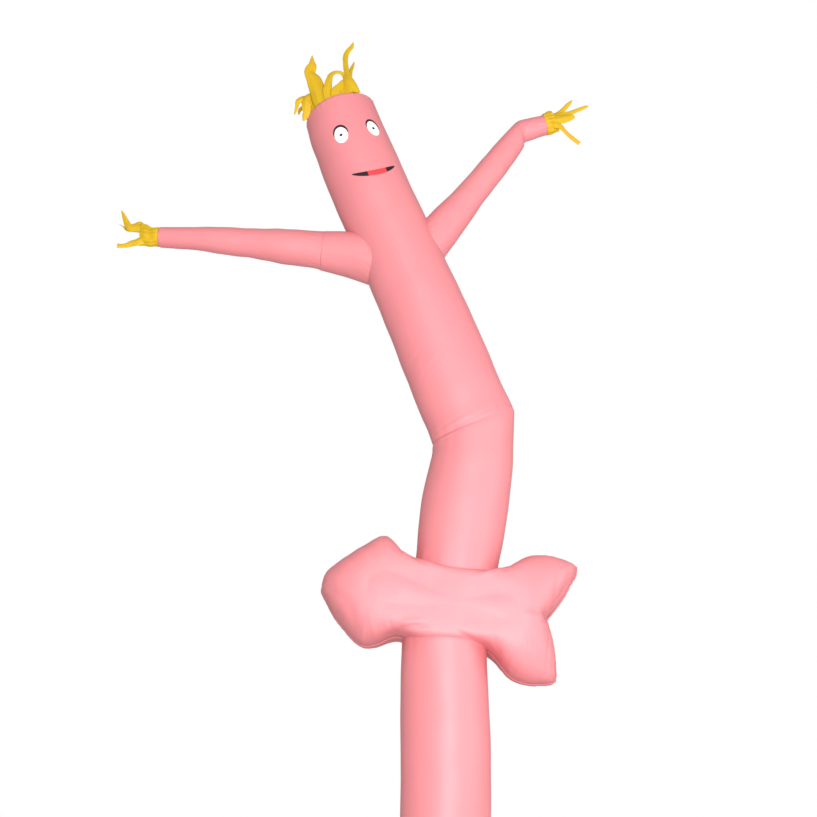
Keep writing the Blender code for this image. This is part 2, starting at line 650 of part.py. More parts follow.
def patch(name, turn, station, lift, finish, closed=False):
    """A thin piece of cloth laid on the head, from grids of turns and stations."""
    low, high = head_surface(turn, station, lift), head_surface(turn, station, lift + PATCH)
    rows, columns = turn.shape
    number = np.arange(rows * columns).reshape(rows, columns)
    if closed:
        number_next = np.roll(number, -1, axis=1)
        left, right = number, number_next
    else:
        left, right = number[:, :-1], number[:, 1:]
    cell = np.stack((left[:-1], right[:-1], right[1:], left[1:]), axis=-1).reshape(-1, 4)
    count = rows * columns
    faces = [list(face) for face in cell] + [list(face[::-1] + count) for face in cell]
    if closed:
        edges = [(number[-1], number_next[-1])]
    else:
        edges = [(number[0, 1:], number[0, :-1]), (number[-1, :-1], number[-1, 1:]),
                 (number[:-1, 0], number[1:, 0]), (number[1:, -1], number[:-1, -1])]
    for start, stop in edges:
        faces += [list(face) for face in np.stack((start, stop, stop + count, start + count), axis=1)]
    return make_object(name, np.vstack((low.reshape(-1, 3), high.reshape(-1, 3))), faces, finish)


def oval(name, turn, station, half_width, half_height, lift, finish, sides=20, rings=3):
    """An oval patch: rings that shrink to a small polygon in its middle."""
    around = np.linspace(0.0, 2.0 * math.pi, sides, endpoint=False)[None, :]
    share = np.linspace(0.0, 1.0, rings + 1)[1:, None]
    radius = BODY_ROWS[-3][4]
    turns = turn + np.degrees(half_width * share * np.cos(around) / radius)
    stations = station - half_height * share * np.sin(around)
    low, high = head_surface(turns, stations, lift), head_surface(turns, stations, lift + PATCH)
    centre_turn, centre_station = np.array(turn), np.array(station)
    middle = np.stack((head_surface(centre_turn, centre_station, lift),
                       head_surface(centre_turn, centre_station, lift + PATCH)))
    count = rings * sides
    side = np.arange(sides)
    after = (side + 1) % sides
    faces = [list(face) for face in ring_faces(rings, sides)]
    faces += [list(face[::-1]) for face in ring_faces(rings, sides, count)]
    faces += [[2 * count, a, b] for a, b in zip(side, after)]
    faces += [[2 * count + 1, count + b, count + a] for a, b in zip(side, after)]
    faces += [list(face) for face in end_faces(sides, count - sides, 2 * count - sides)]
    return make_object(name, np.vstack((low.reshape(-1, 3), high.reshape(-1, 3), middle)), faces, finish)


def lash(name, turn, station, finish):
    """The black crescent that shows over an eye."""
    angle = np.radians(np.linspace(LASH_FROM, LASH_TO, 15))[None, :]
    share = np.linspace(0.0, 1.0, 15)[None, :]
    radius = BODY_ROWS[-3][4]
    clear = 0.0006
    thick = 0.0012 + (LASH_THICK - 0.0012) * np.sin(math.pi * share) ** 0.8
    step = np.array((0.0, 1.0))[:, None] * thick
    turns = turn + np.degrees((EYE_HALF_WIDTH + clear + step) * np.cos(angle) / radius)
    stations = station - (EYE_HALF_HEIGHT + clear + step) * np.sin(angle)
    return patch(name, turns, stations, GAP, finish)


def mouth_piece(name, start, stop, finish):
    """A length of the smile, which is thickest in its middle and runs out to two points."""
    inset = 0.5 * GAP / 0.28
    low = start + (inset if start > 0.0 else 0.0)
    high = stop - (inset if stop < 1.0 else 0.0)
    share = np.linspace(low, high, 9)[None, :]
    turns = MOUTH_FROM + (MOUTH_TO - MOUTH_FROM) * share
    bow = 1.0 - (2.0 * share - 1.0) ** 2
    half_thick = 0.5 * (0.003 + (MOUTH_THICK - 0.003) * bow ** 0.7)
    middle = MOUTH_STATION + MOUTH_LEAN * (share - 0.5) + MOUTH_DIP * bow
    level = np.array((-1.0, 0.0, 1.0))[:, None]
    return patch(name, np.broadcast_to(turns, (3, 9)), middle + level * half_thick, GAP, finish)


def build_tubes(pink, arrow):
    leg = tilted_rings(LEG_ROWS, TUBE_SIDES)
    body = body_rings()
    left, right = headed_rings(LEFT_ARM_ROWS, ARM_SIDES), headed_rings(RIGHT_ARM_ROWS, ARM_SIDES)

    hem_rows = sum(1 for row in LEG_ROWS if row[1] <= HEM_HEIGHT)
    leg_wall = [HEM_WALL] * hem_rows + [WALL] * (len(LEG_ROWS) - hem_rows)
    leg_tube = open_shell("leg_tube", leg, pink, leg_wall)
    cut_away(leg_tube, arrow.whole("arrow_form", GAP))

    body_tube = open_shell("body_tube", body, pink)
    cut_away(body_tube, arrow.whole("arrow_form", GAP),
             filled_tube("left_bore", left, -WALL), filled_tube("right_bore", right, -WALL))

    root_rings = left[:LEFT_SEAM + 1].copy()
    sleeve_rings = left[LEFT_SEAM:].copy()
    sleeve_rings[0, :, 0] -= GAP
    pieces = (("arm_left_root", root_rings), ("arm_right", right))
    for name, rings in pieces:
        arm = open_shell(name, rings, pink)
        cut_away(arm, filled_tube("body_form", tilted_rings(BODY_ROWS, TUBE_SIDES), GAP))
    open_shell("arm_left", sleeve_rings, pink)
    return leg, body


def build_arrow(pink, arrow, leg, body):
    made = [arrow.panel("arrow_front", -1.0, pink), arrow.panel("arrow_back", 1.0, pink),
            arrow.gusset("arrow_gusset_head", -1.0, pink), arrow.gusset("arrow_gusset_tail", 1.0, pink)]
    waist = body[:len(BODY_ROWS)]
    for piece in made:
        cut_away(piece, filled_tube("leg_bore", leg, -WALL), filled_tube("body_bore", waist, -WALL))


def build_hands_and_hair(yellow):
    open_shell("cuff_left", headed_rings(LEFT_CUFF_ROWS, BAND_SIDES), yellow)
    open_shell("cuff_right", headed_rings(RIGHT_CUFF_ROWS, BAND_SIDES), yellow)
    finger_strip("fingers_left", LEFT_STRIP_ROWS, LEFT_FINGERS, yellow)
    finger_strip("fingers_right", RIGHT_STRIP_ROWS, RIGHT_FINGERS, yellow)
    open_shell("crown", crown_rings(CROWN_ROWS), yellow)
    hair_strip(yellow)


def build_face(white, black, red):
    for side, turn, station in EYES:
        oval("eye_white_" + side, turn, station, EYE_HALF_WIDTH, EYE_HALF_HEIGHT, GAP, white)
        oval("pupil_" + side, turn, station, PUPIL_RADIUS, PUPIL_RADIUS, PATCH + 2.0 * GAP, black,
             sides=10, rings=1)
        lash("lash_" + side, turn, station, black)
    for name, start, stop in MOUTH_PIECES:
        mouth_piece("mouth_" + name, start, stop, red if name == "red" else black)


def build():
    clear_scene()
    pink = material("pink_nylon", PINK)
    arrow = Arrow()
    leg, body = build_tubes(pink, arrow)
    build_arrow(pink, arrow, leg, body)
    build_hands_and_hair(material("yellow_nylon", YELLOW))
    build_face(material("white_cloth", WHITE), material("black_cloth", BLACK), material("red_cloth", RED))


build()
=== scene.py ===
# %% [markdown]
# An inflatable air dancer
#
# The object is a figure sewn from thin nylon. A fan under it blows air up the leg, the air
# swells every part to a tight tube, and it leaves through the head and the hands. So each
# surface here is a skin: a tube, a pillow or a ribbon with nothing inside it.
# The CAD model gives the frame that everything is built in: metres, with Z up and the face
# towards -Y. The origin is the middle of the open mouth that the figure stands on.

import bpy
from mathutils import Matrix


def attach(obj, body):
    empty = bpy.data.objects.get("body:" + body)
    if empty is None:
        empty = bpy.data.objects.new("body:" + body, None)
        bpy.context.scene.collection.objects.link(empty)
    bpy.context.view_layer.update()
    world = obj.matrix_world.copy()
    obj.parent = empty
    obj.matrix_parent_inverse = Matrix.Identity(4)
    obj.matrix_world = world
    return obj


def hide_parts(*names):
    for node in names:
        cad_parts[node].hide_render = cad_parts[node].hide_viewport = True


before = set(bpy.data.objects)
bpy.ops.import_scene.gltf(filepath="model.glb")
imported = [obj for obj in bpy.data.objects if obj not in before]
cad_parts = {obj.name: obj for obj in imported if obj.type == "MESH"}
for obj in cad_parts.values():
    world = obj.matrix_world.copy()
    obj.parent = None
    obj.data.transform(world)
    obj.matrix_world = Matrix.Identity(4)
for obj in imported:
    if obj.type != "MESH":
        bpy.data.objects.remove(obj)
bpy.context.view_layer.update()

import math

import bpy
import numpy as np

bpy.context.scene.view_settings.view_transform = "Standard"

# %% [markdown]
# The camera
#
# The picture was taken from the ground, 6.7 metres in front of the figure, with the camera
# tipped up by about twenty degrees. That is why the leg is cut off by the lower edge, and why
# the head looks smaller than the leg. The floor lies below the picture.

# %% Camera
camera_data = bpy.data.cameras.new("camera")
camera_data.lens = 54.9
camera_data.sensor_width = 36.0
camera = bpy.data.objects.new("camera", camera_data)
camera.location = (-0.12, -6.67, 1.10)
camera.rotation_euler = (math.radians(110.5), 0.0, 0.0)
bpy.context.scene.collection.objects.link(camera)
bpy.context.scene.camera = camera

# %% [markdown]
# The tables of the figure
#
# A long soft tube is easiest to describe by its sections. Each row holds the middle of a
# section, how far its right side is tipped up, and its half width and half depth. The whole
# centre line lies in one upright plane, so a section needs only x and z. The same rows built
# the CAD solids, so the skins that are made from them here lie where those solids are.

# %% Section tables
# Columns: x, z, tilt in degrees, half width, half depth.
LEG_ROWS = (
    (0.000, 0.000, 0.0, 0.2285, 0.2285),
    (0.000, 0.054, 0.0, 0.2285, 0.2285),
    (0.004, 0.320, -2.0, 0.2285, 0.2285),
    (0.024, 0.720, -4.0, 0.2290, 0.2285),
    (0.052, 1.100, -3.0, 0.2290, 0.2285),
    (0.071, 1.420, -1.0, 0.2300, 0.2285),
    (0.073, 1.770, 0.0, 0.2350, 0.2285),
    (0.070, 2.020, 0.0, 0.2320, 0.2285),
    (0.071, 2.210, 0.0, 0.2265, 0.2270),
    (0.080, 2.410, -4.0, 0.2265, 0.2265),
)
WAIST_ROWS = (
    (0.115, 2.510, -7.0, 0.2265, 0.2265),
    (0.150, 2.720, -7.0, 0.2285, 0.2280),
    (0.169, 2.850, -7.0, 0.2370, 0.2285),
    (0.190, 3.000, -8.0, 0.2385, 0.2285),
    (0.214, 3.140, -7.0, 0.2360, 0.2285),
    (0.232, 3.250, -2.0, 0.2330, 0.2285),
    (0.243, 3.350, 8.0, 0.2330, 0.2240),
    (0.2515, 3.470, 23.6, 0.2548, 0.2050),
)
CHEST_ROWS = (
    (0.2515, 3.470, 23.6, 0.2548, 0.2050),
    (0.219, 3.560, 23.0, 0.2520, 0.2150),
    (0.181, 3.650, 22.0, 0.2520, 0.2250),
    (0.1255, 3.794, 21.5, 0.2515, 0.2285),
    (0.069, 3.944, 21.5, 0.2490, 0.2285),
    (-0.0465, 4.252, 21.5, 0.2415, 0.2285),
    (-0.122, 4.440, 21.5, 0.2385, 0.2285),
    (-0.200, 4.640, 21.5, 0.2375, 0.2285),
    (-0.3055, 4.895, 21.5, 0.2375, 0.2285),
    (-0.403, 5.147, 21.5, 0.2375, 0.2285),
    (-0.467, 5.318, 21.5, 0.2345, 0.2285),
    (-0.506, 5.420, 21.0, 0.2315, 0.2275),
    (-0.546, 5.548, 20.0, 0.2240, 0.2200),
)
# The head closes over its rim. Columns: rise along the head, how far the edge has drawn in.
SHOULDER = ((0.009, 0.006), (0.016, 0.017), (0.019, 0.034), (0.020, 0.060))

# Arms and cuffs. Columns: x, z, heading in degrees from +X, half width, half depth.
LEFT_ARM_ROWS = (
    (-0.250, 4.545, 173.0, 0.1750, 0.1700),
    (-0.400, 4.563, 173.0, 0.1500, 0.1480),
    (-0.520, 4.585, 173.0, 0.1300, 0.1290),
    (-0.630, 4.6025, 173.0, 0.1180, 0.1180),
    (-0.820, 4.627, 173.0, 0.1065, 0.1065),
    (-1.013, 4.650, 173.5, 0.0940, 0.0940),
    (-1.200, 4.668, 174.5, 0.0820, 0.0820),
    (-1.400, 4.684, 175.5, 0.0700, 0.0700),
    (-1.620, 4.696, 177.0, 0.0575, 0.0575),
)
LEFT_SEAM = 3
RIGHT_ARM_ROWS = (
    (-0.060, 4.555, 53.5, 0.1300, 0.1280),
    (0.010, 4.652, 53.5, 0.1220, 0.1210),
    (0.076, 4.744, 53.5, 0.1158, 0.1150),
    (0.211, 4.9195, 53.5, 0.0960, 0.0960),
    (0.400, 5.178, 53.5, 0.0830, 0.0830),
    (0.515, 5.340, 52.0, 0.0750, 0.0750),
    (0.551, 5.390, 38.0, 0.0720, 0.0720),
    (0.581, 5.435, 18.0, 0.0710, 0.0640),
    (0.640, 5.455, 17.0, 0.0680, 0.0650),
    (0.728, 5.4825, 17.0, 0.0640, 0.0640),
)
LEFT_CUFF_ROWS = (
    (-1.6203, 4.696, 177.0, 0.0580, 0.0580),
    (-1.668, 4.697, 176.0, 0.0585, 0.0500),
    (-1.712, 4.710, 176.0, 0.0700, 0.0380),
    (-1.734, 4.716, 177.0, 0.0750, 0.0310),
)
RIGHT_CUFF_ROWS = (
    (0.7283, 5.4826, 17.0, 0.0645, 0.0645),
    (0.752, 5.495, 17.0, 0.0710, 0.0580),
    (0.779, 5.508, 18.0, 0.0720, 0.0450),
    (0.797, 5.515, 19.0, 0.0680, 0.0380),
)
print("rows:", len(LEG_ROWS), "leg,", len(WAIST_ROWS) + len(CHEST_ROWS) - 1, "body")

# %% [markdown]
# From rows to a skin
#
# A straight line between two rows would leave flats, as on a stove pipe. Blown cloth runs on
# in one curve, so a cubic is laid through the rows (Catmull-Rom), and the skin is worked out
# from two numbers: how far along the tube a point lies, and its angle round the tube. At an
# angle of -90 degrees it is on the front.

# %% Splines and sections
FRONT = -0.5 * math.pi


def reach_of(rows):
    """Distance along the middle line at each row: the sum of the steps between the rows."""
    rows = np.asarray(rows, dtype=float)
    return np.concatenate(((0.0,), np.cumsum(np.hypot(np.diff(rows[:, 0]), np.diff(rows[:, 1])))))


def cubic(values, knots, at):
    """Value at `at` on the cubic through values: between two knots it blends their values
    and their slopes, and a slope is the mean of the steps beside it, weighed by length."""
    values = np.asarray(values, dtype=float)
    step = np.diff(knots)
    wide = (slice(None),) + (None,) * (values.ndim - 1)
    slope = np.diff(values, axis=0) / step[wide]
    tangent = np.concatenate((slope[:1], slope[-1:])) if len(step) == 1 else np.concatenate((
        slope[:1],
        (slope[:-1] * step[1:][wide] + slope[1:] * step[:-1][wide]) / (step[:-1] + step[1:])[wide],
        slope[-1:]))
    cell = np.clip(np.searchsorted(knots, at, side="right") - 1, 0, len(step) - 1)
    wider = (Ellipsis,) + (None,) * (values.ndim - 1)
    size = step[cell][wider]
    t = ((at - knots[cell]) / step[cell])[wider]
    return ((2 * t ** 3 - 3 * t ** 2 + 1) * values[cell] + (t ** 3 - 2 * t ** 2 + t) * size * tangent[cell]
            + (3 * t ** 2 - 2 * t ** 3) * values[cell + 1] + (t ** 3 - t ** 2) * size * tangent[cell + 1])


def headed(rows):
    """Rows that give a heading, as rows that give a tilt: a tube's section is tipped up by
    its heading less a right angle."""
    return tuple((x, z, heading - 90.0, width, depth) for x, z, heading, width, depth in rows)


def section_point(x, z, tilt, width, depth, angle):
    """Point at an angle on an ellipse: middle + width cos(angle) across + depth sin(angle) back."""
    turn = np.radians(tilt)
    across = width * np.cos(angle)
    return np.stack((x + across * np.cos(turn), depth * np.sin(angle),
                     z + across * np.sin(turn)), axis=-1)


def tube_point(rows, reach, angle):
    """Point on the skin of a tube, from the distance along it and the angle round it."""
    rows = np.asarray(rows, dtype=float)
    found = cubic(rows, reach_of(rows), reach)
    return section_point(*(found[..., k] for k in range(5)), angle)


def grid_normals(points, closed):
    """Outward normals of a grid of points: the step round it crossed with the step along it."""
    along = np.gradient(points, axis=0)
    if closed:
        around = np.roll(points, -1, axis=1) - np.roll(points, 1, axis=1)
    else:
        around = np.gradient(points, axis=1)
    normal = np.cross(around, along)
    return normal / np.maximum(np.linalg.norm(normal, axis=-1, keepdims=True), 1e-12)


print("leg length", round(float(reach_of(LEG_ROWS)[-1]), 3))

# %% [markdown]
# Creases, puckers and swell
#
# Air keeps cloth tight, so its relief is small and has three causes. Where the tube bends or
# a piece is joined, sharp folds run out from the corner and fade. Thread draws a seam a little
# shorter than the cloth beside it, so the cloth puckers across the seam. Everywhere else the
# skin swells slightly unevenly. Each is a height in metres that is added along the normal.

# %% Relief
def fade(distance, width):
    """A bell curve: 1 at no distance, near 0 at two widths."""
    return np.exp(-(distance / width) ** 2)


def smooth_step(low, high, value):
    """0 below low, 1 above high and an S-curve between."""
    t = np.clip((value - low) / (high - low), 0.0, 1.0)
    return t * t * (3.0 - 2.0 * t)


def swell(points, size, seed, waves=14):
    """Gentle unevenness between about -1 and 1: the sum of sines that run in random
    directions through space, with wavelengths near size. The same seed gives the same cloth."""
    draw = np.random.default_rng(seed)
    heading = draw.normal(size=(waves, 3))
    heading /= np.linalg.norm(heading, axis=1, keepdims=True)
    rate = 2.0 * math.pi / (size * draw.uniform(0.75, 1.6, waves))
    phase = draw.uniform(0.0, 2.0 * math.pi, waves)
    return np.sin(points @ (heading * rate[:, None]).T + phase).sum(axis=-1) / math.sqrt(waves)


def fold_lines(u, v, folds):
    """Sharp folds on a flat cloth with coordinates u, v in metres. Each row of folds gives
    the two ends, a width and a depth. Height = - depth * bell(distance to the line) + a
    low lip beside it, and both run out towards the ends."""
    height = np.zeros_like(u)
    for u0, v0, u1, v1, width, depth in folds:
        du, dv = u1 - u0, v1 - v0
        length = math.hypot(du, dv)
        share = ((u - u0) * du + (v - v0) * dv) / length ** 2
        side = ((v - v0) * du - (u - u0) * dv) / length
        run = smooth_step(-0.12, 0.25, share) * smooth_step(-0.12, 0.45, 1.0 - share)
        height += run * depth * (0.45 * fade(side - 1.7 * width, 1.3 * width) - fade(side, width))
    return height


def puckers(distance, along, pitch, depth, reach, seed):
    """Short folds that stand across a seam: a wave along it, whose pitch wanders, dies away
    with the distance from the seam."""
    draw = np.random.default_rng(seed)
    wander = sum(draw.uniform(0.4, 1.1)
                 * np.sin(2.0 * math.pi * along / (pitch * size) + draw.uniform(0, 6.3))
                 for size in (3.1, 4.7, 7.9))
    strength = 0.6 + 0.4 * np.sin(2.0 * math.pi * along / (pitch * 5.3) + draw.uniform(0, 6.3))
    wave = np.sin(2.0 * math.pi * along / pitch + wander)
    return depth * strength * wave * np.exp(-np.abs(distance) / reach)


print("folds, puckers and swell are heights in metres")

# %% [markdown]
# Putting a skin into Blender
#
# A grid of points is already a mesh in rows and columns, so its faces can be numbered with
# whole arrays, and `foreach_set` hands everything over at once. Every skin also gets a UV map
# in metres of cloth. A weave drawn on it keeps its size and follows the cloth round bends,
# which a pattern fixed in space would not. A Solidify modifier then gives the skin its second
# side, so that each piece is a closed body.

# %% Grid to mesh
SKIN = 0.0015


def cloth_uv(points, closed):
    """Distances along and round a grid, in metres: running sums of the steps between its
    points, with the mean row's steps used for the way round."""
    steps = np.linalg.norm(np.diff(points, axis=0), axis=-1).mean(axis=1)
    v = np.concatenate(((0.0,), np.cumsum(steps)))
    ring = np.concatenate((points, points[:, :1]), axis=1) if closed else points
    steps = np.linalg.norm(np.diff(ring, axis=1), axis=-1).mean(axis=0)
    u = np.concatenate(((0.0,), np.cumsum(steps)))
    return np.broadcast_to(u, (len(v), len(u))), np.broadcast_to(v[:, None], (len(v), len(u)))


def grid_faces(rows, columns, closed, start=0):
    """Corner numbers of a grid's faces: (i, j), (i, j+1), (i+1, j+1), (i+1, j), and the same
    places as grid indices, where a closed grid's last column is followed by one more."""
    row, column = (index.ravel() for index in np.mgrid[0:rows - 1, 0:columns - (0 if closed else 1)])
    after = (column + 1) % columns
    corners = start + np.stack((row * columns + column, row * columns + after,
                                (row + 1) * columns + after, (row + 1) * columns + column), axis=1)
    return corners, (np.stack((row, row, row + 1, row + 1), axis=1),
                     np.stack((column, column + 1, column + 1, column), axis=1))


def grids_piece(name, grids, closed=False, uvs=None, seams=None, flip=False, thickness=SKIN):
    """One piece from several grids. Points that coincide are welded into one, and flip turns
    the faces over. seams holds each point's distance from the nearest sewn edge."""
    points = np.vstack([grid.reshape(-1, 3) for grid in grids])
    if seams is None:
        seams = [np.ones(grid.shape[:2]) for grid in grids]
    seam = np.concatenate([values.reshape(-1) for values in seams])
    faces, flats, start = [], [], 0
    for number, grid in enumerate(grids):
        corners, at = grid_faces(grid.shape[0], grid.shape[1], closed, start)
        u, v = cloth_uv(grid, closed) if uvs is None else uvs[number]
        faces.append(corners)
        flats.append(np.stack((u[at], v[at]), axis=-1))
        start += grid.shape[0] * grid.shape[1]
    faces, flats = np.vstack(faces), np.vstack(flats)
    _, first_of, welded = np.unique(np.round(points, 6), axis=0, return_index=True, return_inverse=True)
    points, seam, faces = points[first_of], seam[first_of], welded.ravel()[faces]
    whole = (faces[:, 0] != faces[:, 1]) & (faces[:, 2] != faces[:, 3])
    whole &= (faces[:, 1] != faces[:, 2]) & (faces[:, 3] != faces[:, 0])
    faces, flats = faces[whole], flats[whole]
    if flip:
        faces, flats = faces[:, ::-1], flats[:, ::-1]
    mesh = bpy.data.meshes.new(name)
    mesh.vertices.add(len(points))
    mesh.vertices.foreach_set("co", points.reshape(-1).astype(np.float32))
    mesh.loops.add(faces.size)
    mesh.loops.foreach_set("vertex_index", faces.reshape(-1).astype(np.int32))
    mesh.polygons.add(len(faces))
    mesh.polygons.foreach_set("loop_start", np.arange(0, faces.size, 4, dtype=np.int32))
    mesh.update(calc_edges=True)
    mesh.uv_layers.new(name="cloth").data.foreach_set("uv", flats.reshape(-1).astype(np.float32))
    mesh.attributes.new("seam", "FLOAT", "POINT").data.foreach_set("value", seam.astype(np.float32))
    mesh.shade_smooth()
    made = bpy.data.objects.new(name, mesh)
    bpy.context.scene.collection.objects.link(made)
    if thickness:
        skin = made.modifiers.new("skin", "SOLIDIFY")
        skin.thickness = thickness
        skin.offset = -1.0
    return made


def grid_piece(name, points, closed=True, seam=None, **more):
    """A piece from one grid."""
    return grids_piece(name, [points], closed, seams=None if seam is None else [seam], **more)


def grid_area(points, closed):
    """Area of a grid: half the cross product of the diagonals of each of its cells."""
    ring = np.concatenate((points, points[:, :1]), axis=1) if closed else points
    first, second = ring[1:, 1:] - ring[:-1, :-1], ring[1:, :-1] - ring[:-1, 1:]
    return float(0.5 * np.linalg.norm(np.cross(first, second), axis=-1).sum())


made_pieces = {}


def keep(piece, finish, grids, closed=True):
    """Gives a piece its material and the area of its grids, and lists it under its name."""
    piece.data.materials.append(finish)
    piece["area"] = sum(grid_area(grid, closed) for grid in grids)
    made_pieces[piece.name] = piece
    print(piece.name, "area", round(piece["area"], 4))


print("skins are", SKIN * 1000, "mm thick")

# %% [markdown]
# Writing a material as a formula
#
# A material is a network of small nodes, and a long one is hard to read in code. This class
# wraps one output socket, so that `a * 2 + b` adds the Math nodes by itself. Colours go
# through Mix nodes, because a Math node would turn them grey.

# %% Sockets as numbers
class Socket:
    """An output socket that can be reckoned with as if it were a number."""

    def __init__(self, tree, socket):
        self.tree, self.socket = tree, socket

    def math(self, operation, *others):
        """A Math node that takes this socket and the others."""
        return Paint(self.tree).node("ShaderNodeMath", {"operation": operation},
                                     dict(enumerate((self,) + others)))

    def __add__(self, other):
        return self.math("ADD", other)

    def __mul__(self, other):
        return self.math("MULTIPLY", other)

    def __sub__(self, other):
        return self.math("SUBTRACT", other)

    def __truediv__(self, other):
        return self.math("DIVIDE", other)


class Paint:
    """Adds nodes to one material. node() takes a type, its settings and its sockets."""

    def __init__(self, tree):
        self.tree = tree

    def node(self, kind, settings=(), sockets=(), output=0):
        made = self.tree.nodes.new(kind)
        for key, value in dict(settings).items():
            setattr(made, key, value)
        for key, value in dict(sockets).items():
            if isinstance(value, Socket):
                self.tree.links.new(value.socket, made.inputs[key])
            else:
                made.inputs[key].default_value = value
        return Socket(self.tree, made.outputs[output])

    def mix(self, share, first, second):
        """A colour between two colours: Mix node in colour mode."""
        return self.node("ShaderNodeMix", {"data_type": "RGBA"}, {0: share, 6: first, 7: second}, 2)

    def split(self, vector):
        """The three numbers of a vector."""
        made = self.node("ShaderNodeSeparateXYZ", (), {0: vector}).socket.node
        return [Socket(self.tree, output) for output in made.outputs]


print("sockets add, subtract, multiply and divide")

# %% [markdown]
# Nylon
#
# The cloth is ripstop: a plain weave with a thicker thread every few millimetres, which
# stands up as a fine square grid. It is thin, so part of the light passes through it and
# comes out again in a deeper pink. That is what tells it from painted plastic, and a shader
# of painted plastic alone would look dead. So a satin surface shader is mixed with a
# translucent one. The relief of the threads, the dashes of thread along a seam and a slight
# change of shade from place to place are worked out from the cloth's own coordinates.

# %% Nylon material
SATIN, SEE_THROUGH, RELIEF = 0.48, 0.22, 0.35
RIP_PITCH = 0.0065
STITCH_PITCH = 0.0042
STITCH_FROM_EDGE = 0.009


def nylon(name, colour, deep, through, gleam):
    """Ripstop nylon: its colour, the deeper one that it drifts to from place to place, that of
    the light which comes through it, and how much its surface shines."""
    made = bpy.data.materials.new(name)
    made.use_nodes = True
    tree = made.node_tree
    paint = Paint(tree)
    shader = tree.nodes["Principled BSDF"]
    place = paint.node("ShaderNodeTexCoord", output=3)
    cloth = paint.node("ShaderNodeUVMap", {"uv_map": "cloth"})
    u, v, _ = paint.split(cloth)
    seam = paint.node("ShaderNodeAttribute", {"attribute_name": "seam"}, output=2)

    def threads(distance, pitch, width):
        """1 on a thread and 0 between: how near the distance is to a whole number of pitches."""
        return ((distance / pitch).math("PINGPONG", 0.5) * -1.0 / width + 1.0).math("MAXIMUM", 0.0)

    grid = threads(u, RIP_PITCH, 0.12).math("MAXIMUM", threads(v, RIP_PITCH, 0.12))
    weave = threads(u, RIP_PITCH / 8.0, 0.5) * threads(v, RIP_PITCH / 8.0, 0.5)
    beside = ((seam - STITCH_FROM_EDGE).math("ABSOLUTE") / -0.0011 + 1.0).math("MAXIMUM", 0.0)
    dash = ((u + v) / STITCH_PITCH).math("PINGPONG", 0.5).math("GREATER_THAN", 0.16)
    stitch = beside * dash
    crumple = paint.node("ShaderNodeTexNoise", (), {"Vector": place, "Scale": 9.0, "Detail": 5.0,
                                                    "Roughness": 0.62, "Distortion": 0.6})
    shade = paint.node("ShaderNodeTexNoise", (), {"Vector": place, "Scale": 1.7, "Detail": 3.0})
    height = grid * 0.00022 + weave * 0.00008 + stitch * 0.0009 + crumple * 0.0035

    base = paint.mix(shade, deep, colour)
    base = paint.mix(grid * 0.10, base, tuple(0.86 * part for part in colour[:3]) + (1.0,))
    base = paint.mix(stitch * 0.45, base, tuple(min(1.0, 1.15 * part) for part in colour[:3]) + (1.0,))
    rough = crumple * 0.16 + (SATIN - 0.08)
    tilt = paint.node("ShaderNodeBump", (), {"Strength": RELIEF, "Distance": 1.0, "Height": height})
    tree.links.new(base.socket, shader.inputs["Base Color"])
    tree.links.new(rough.socket, shader.inputs["Roughness"])
    tree.links.new(tilt.socket, shader.inputs["Normal"])
    shader.inputs["IOR"].default_value = 1.45
    shader.inputs["Specular IOR Level"].default_value = gleam
    glow = paint.node("ShaderNodeBsdfTranslucent", (), {"Color": through})
    both = paint.node("ShaderNodeMixShader", (), {0: SEE_THROUGH, 2: glow})
    tree.links.new(shader.outputs[0], both.socket.node.inputs[1])
    tree.links.new(both.socket, tree.nodes["Material Output"].inputs["Surface"])
    return made


PINK = nylon("pink_nylon", (0.95, 0.345, 0.355, 1.0), (0.94, 0.30, 0.335, 1.0),
             (0.95, 0.25, 0.27, 1.0), gleam=0.9)
YELLOW = nylon("yellow_nylon", (0.90, 0.64, 0.010, 1.0), (0.80, 0.49, 0.008, 1.0),
               (0.88, 0.53, 0.004, 1.0), gleam=0.6)
print("nylon:", PINK.name, YELLOW.name)

# %% [markdown]
# The arrow's outline and its puff
#
# The arrow is a pillow: two panels cut to one outline, with a narrow strip sewn between their
# edges. Its outline is a table of rows across the shaft, from the tip to the two tail ends.
# How far air lifts a panel follows Poisson's equation, as a soap film does. Its square root
# is used, because over a long strip that is exactly a half circle. The equation is solved
# once on the table's own coarse grid, and the cubic then carries the heights to a fine grid.

# %% Arrow outline
ARROW_X, ARROW_Z = 0.093, 2.458
ARROW_TURN = math.radians(8.7)
ARROW_DEPTH = 0.244
GUSSET = 0.030
GUSSET_BULGE = 0.005
NOTCH_ROW = 21
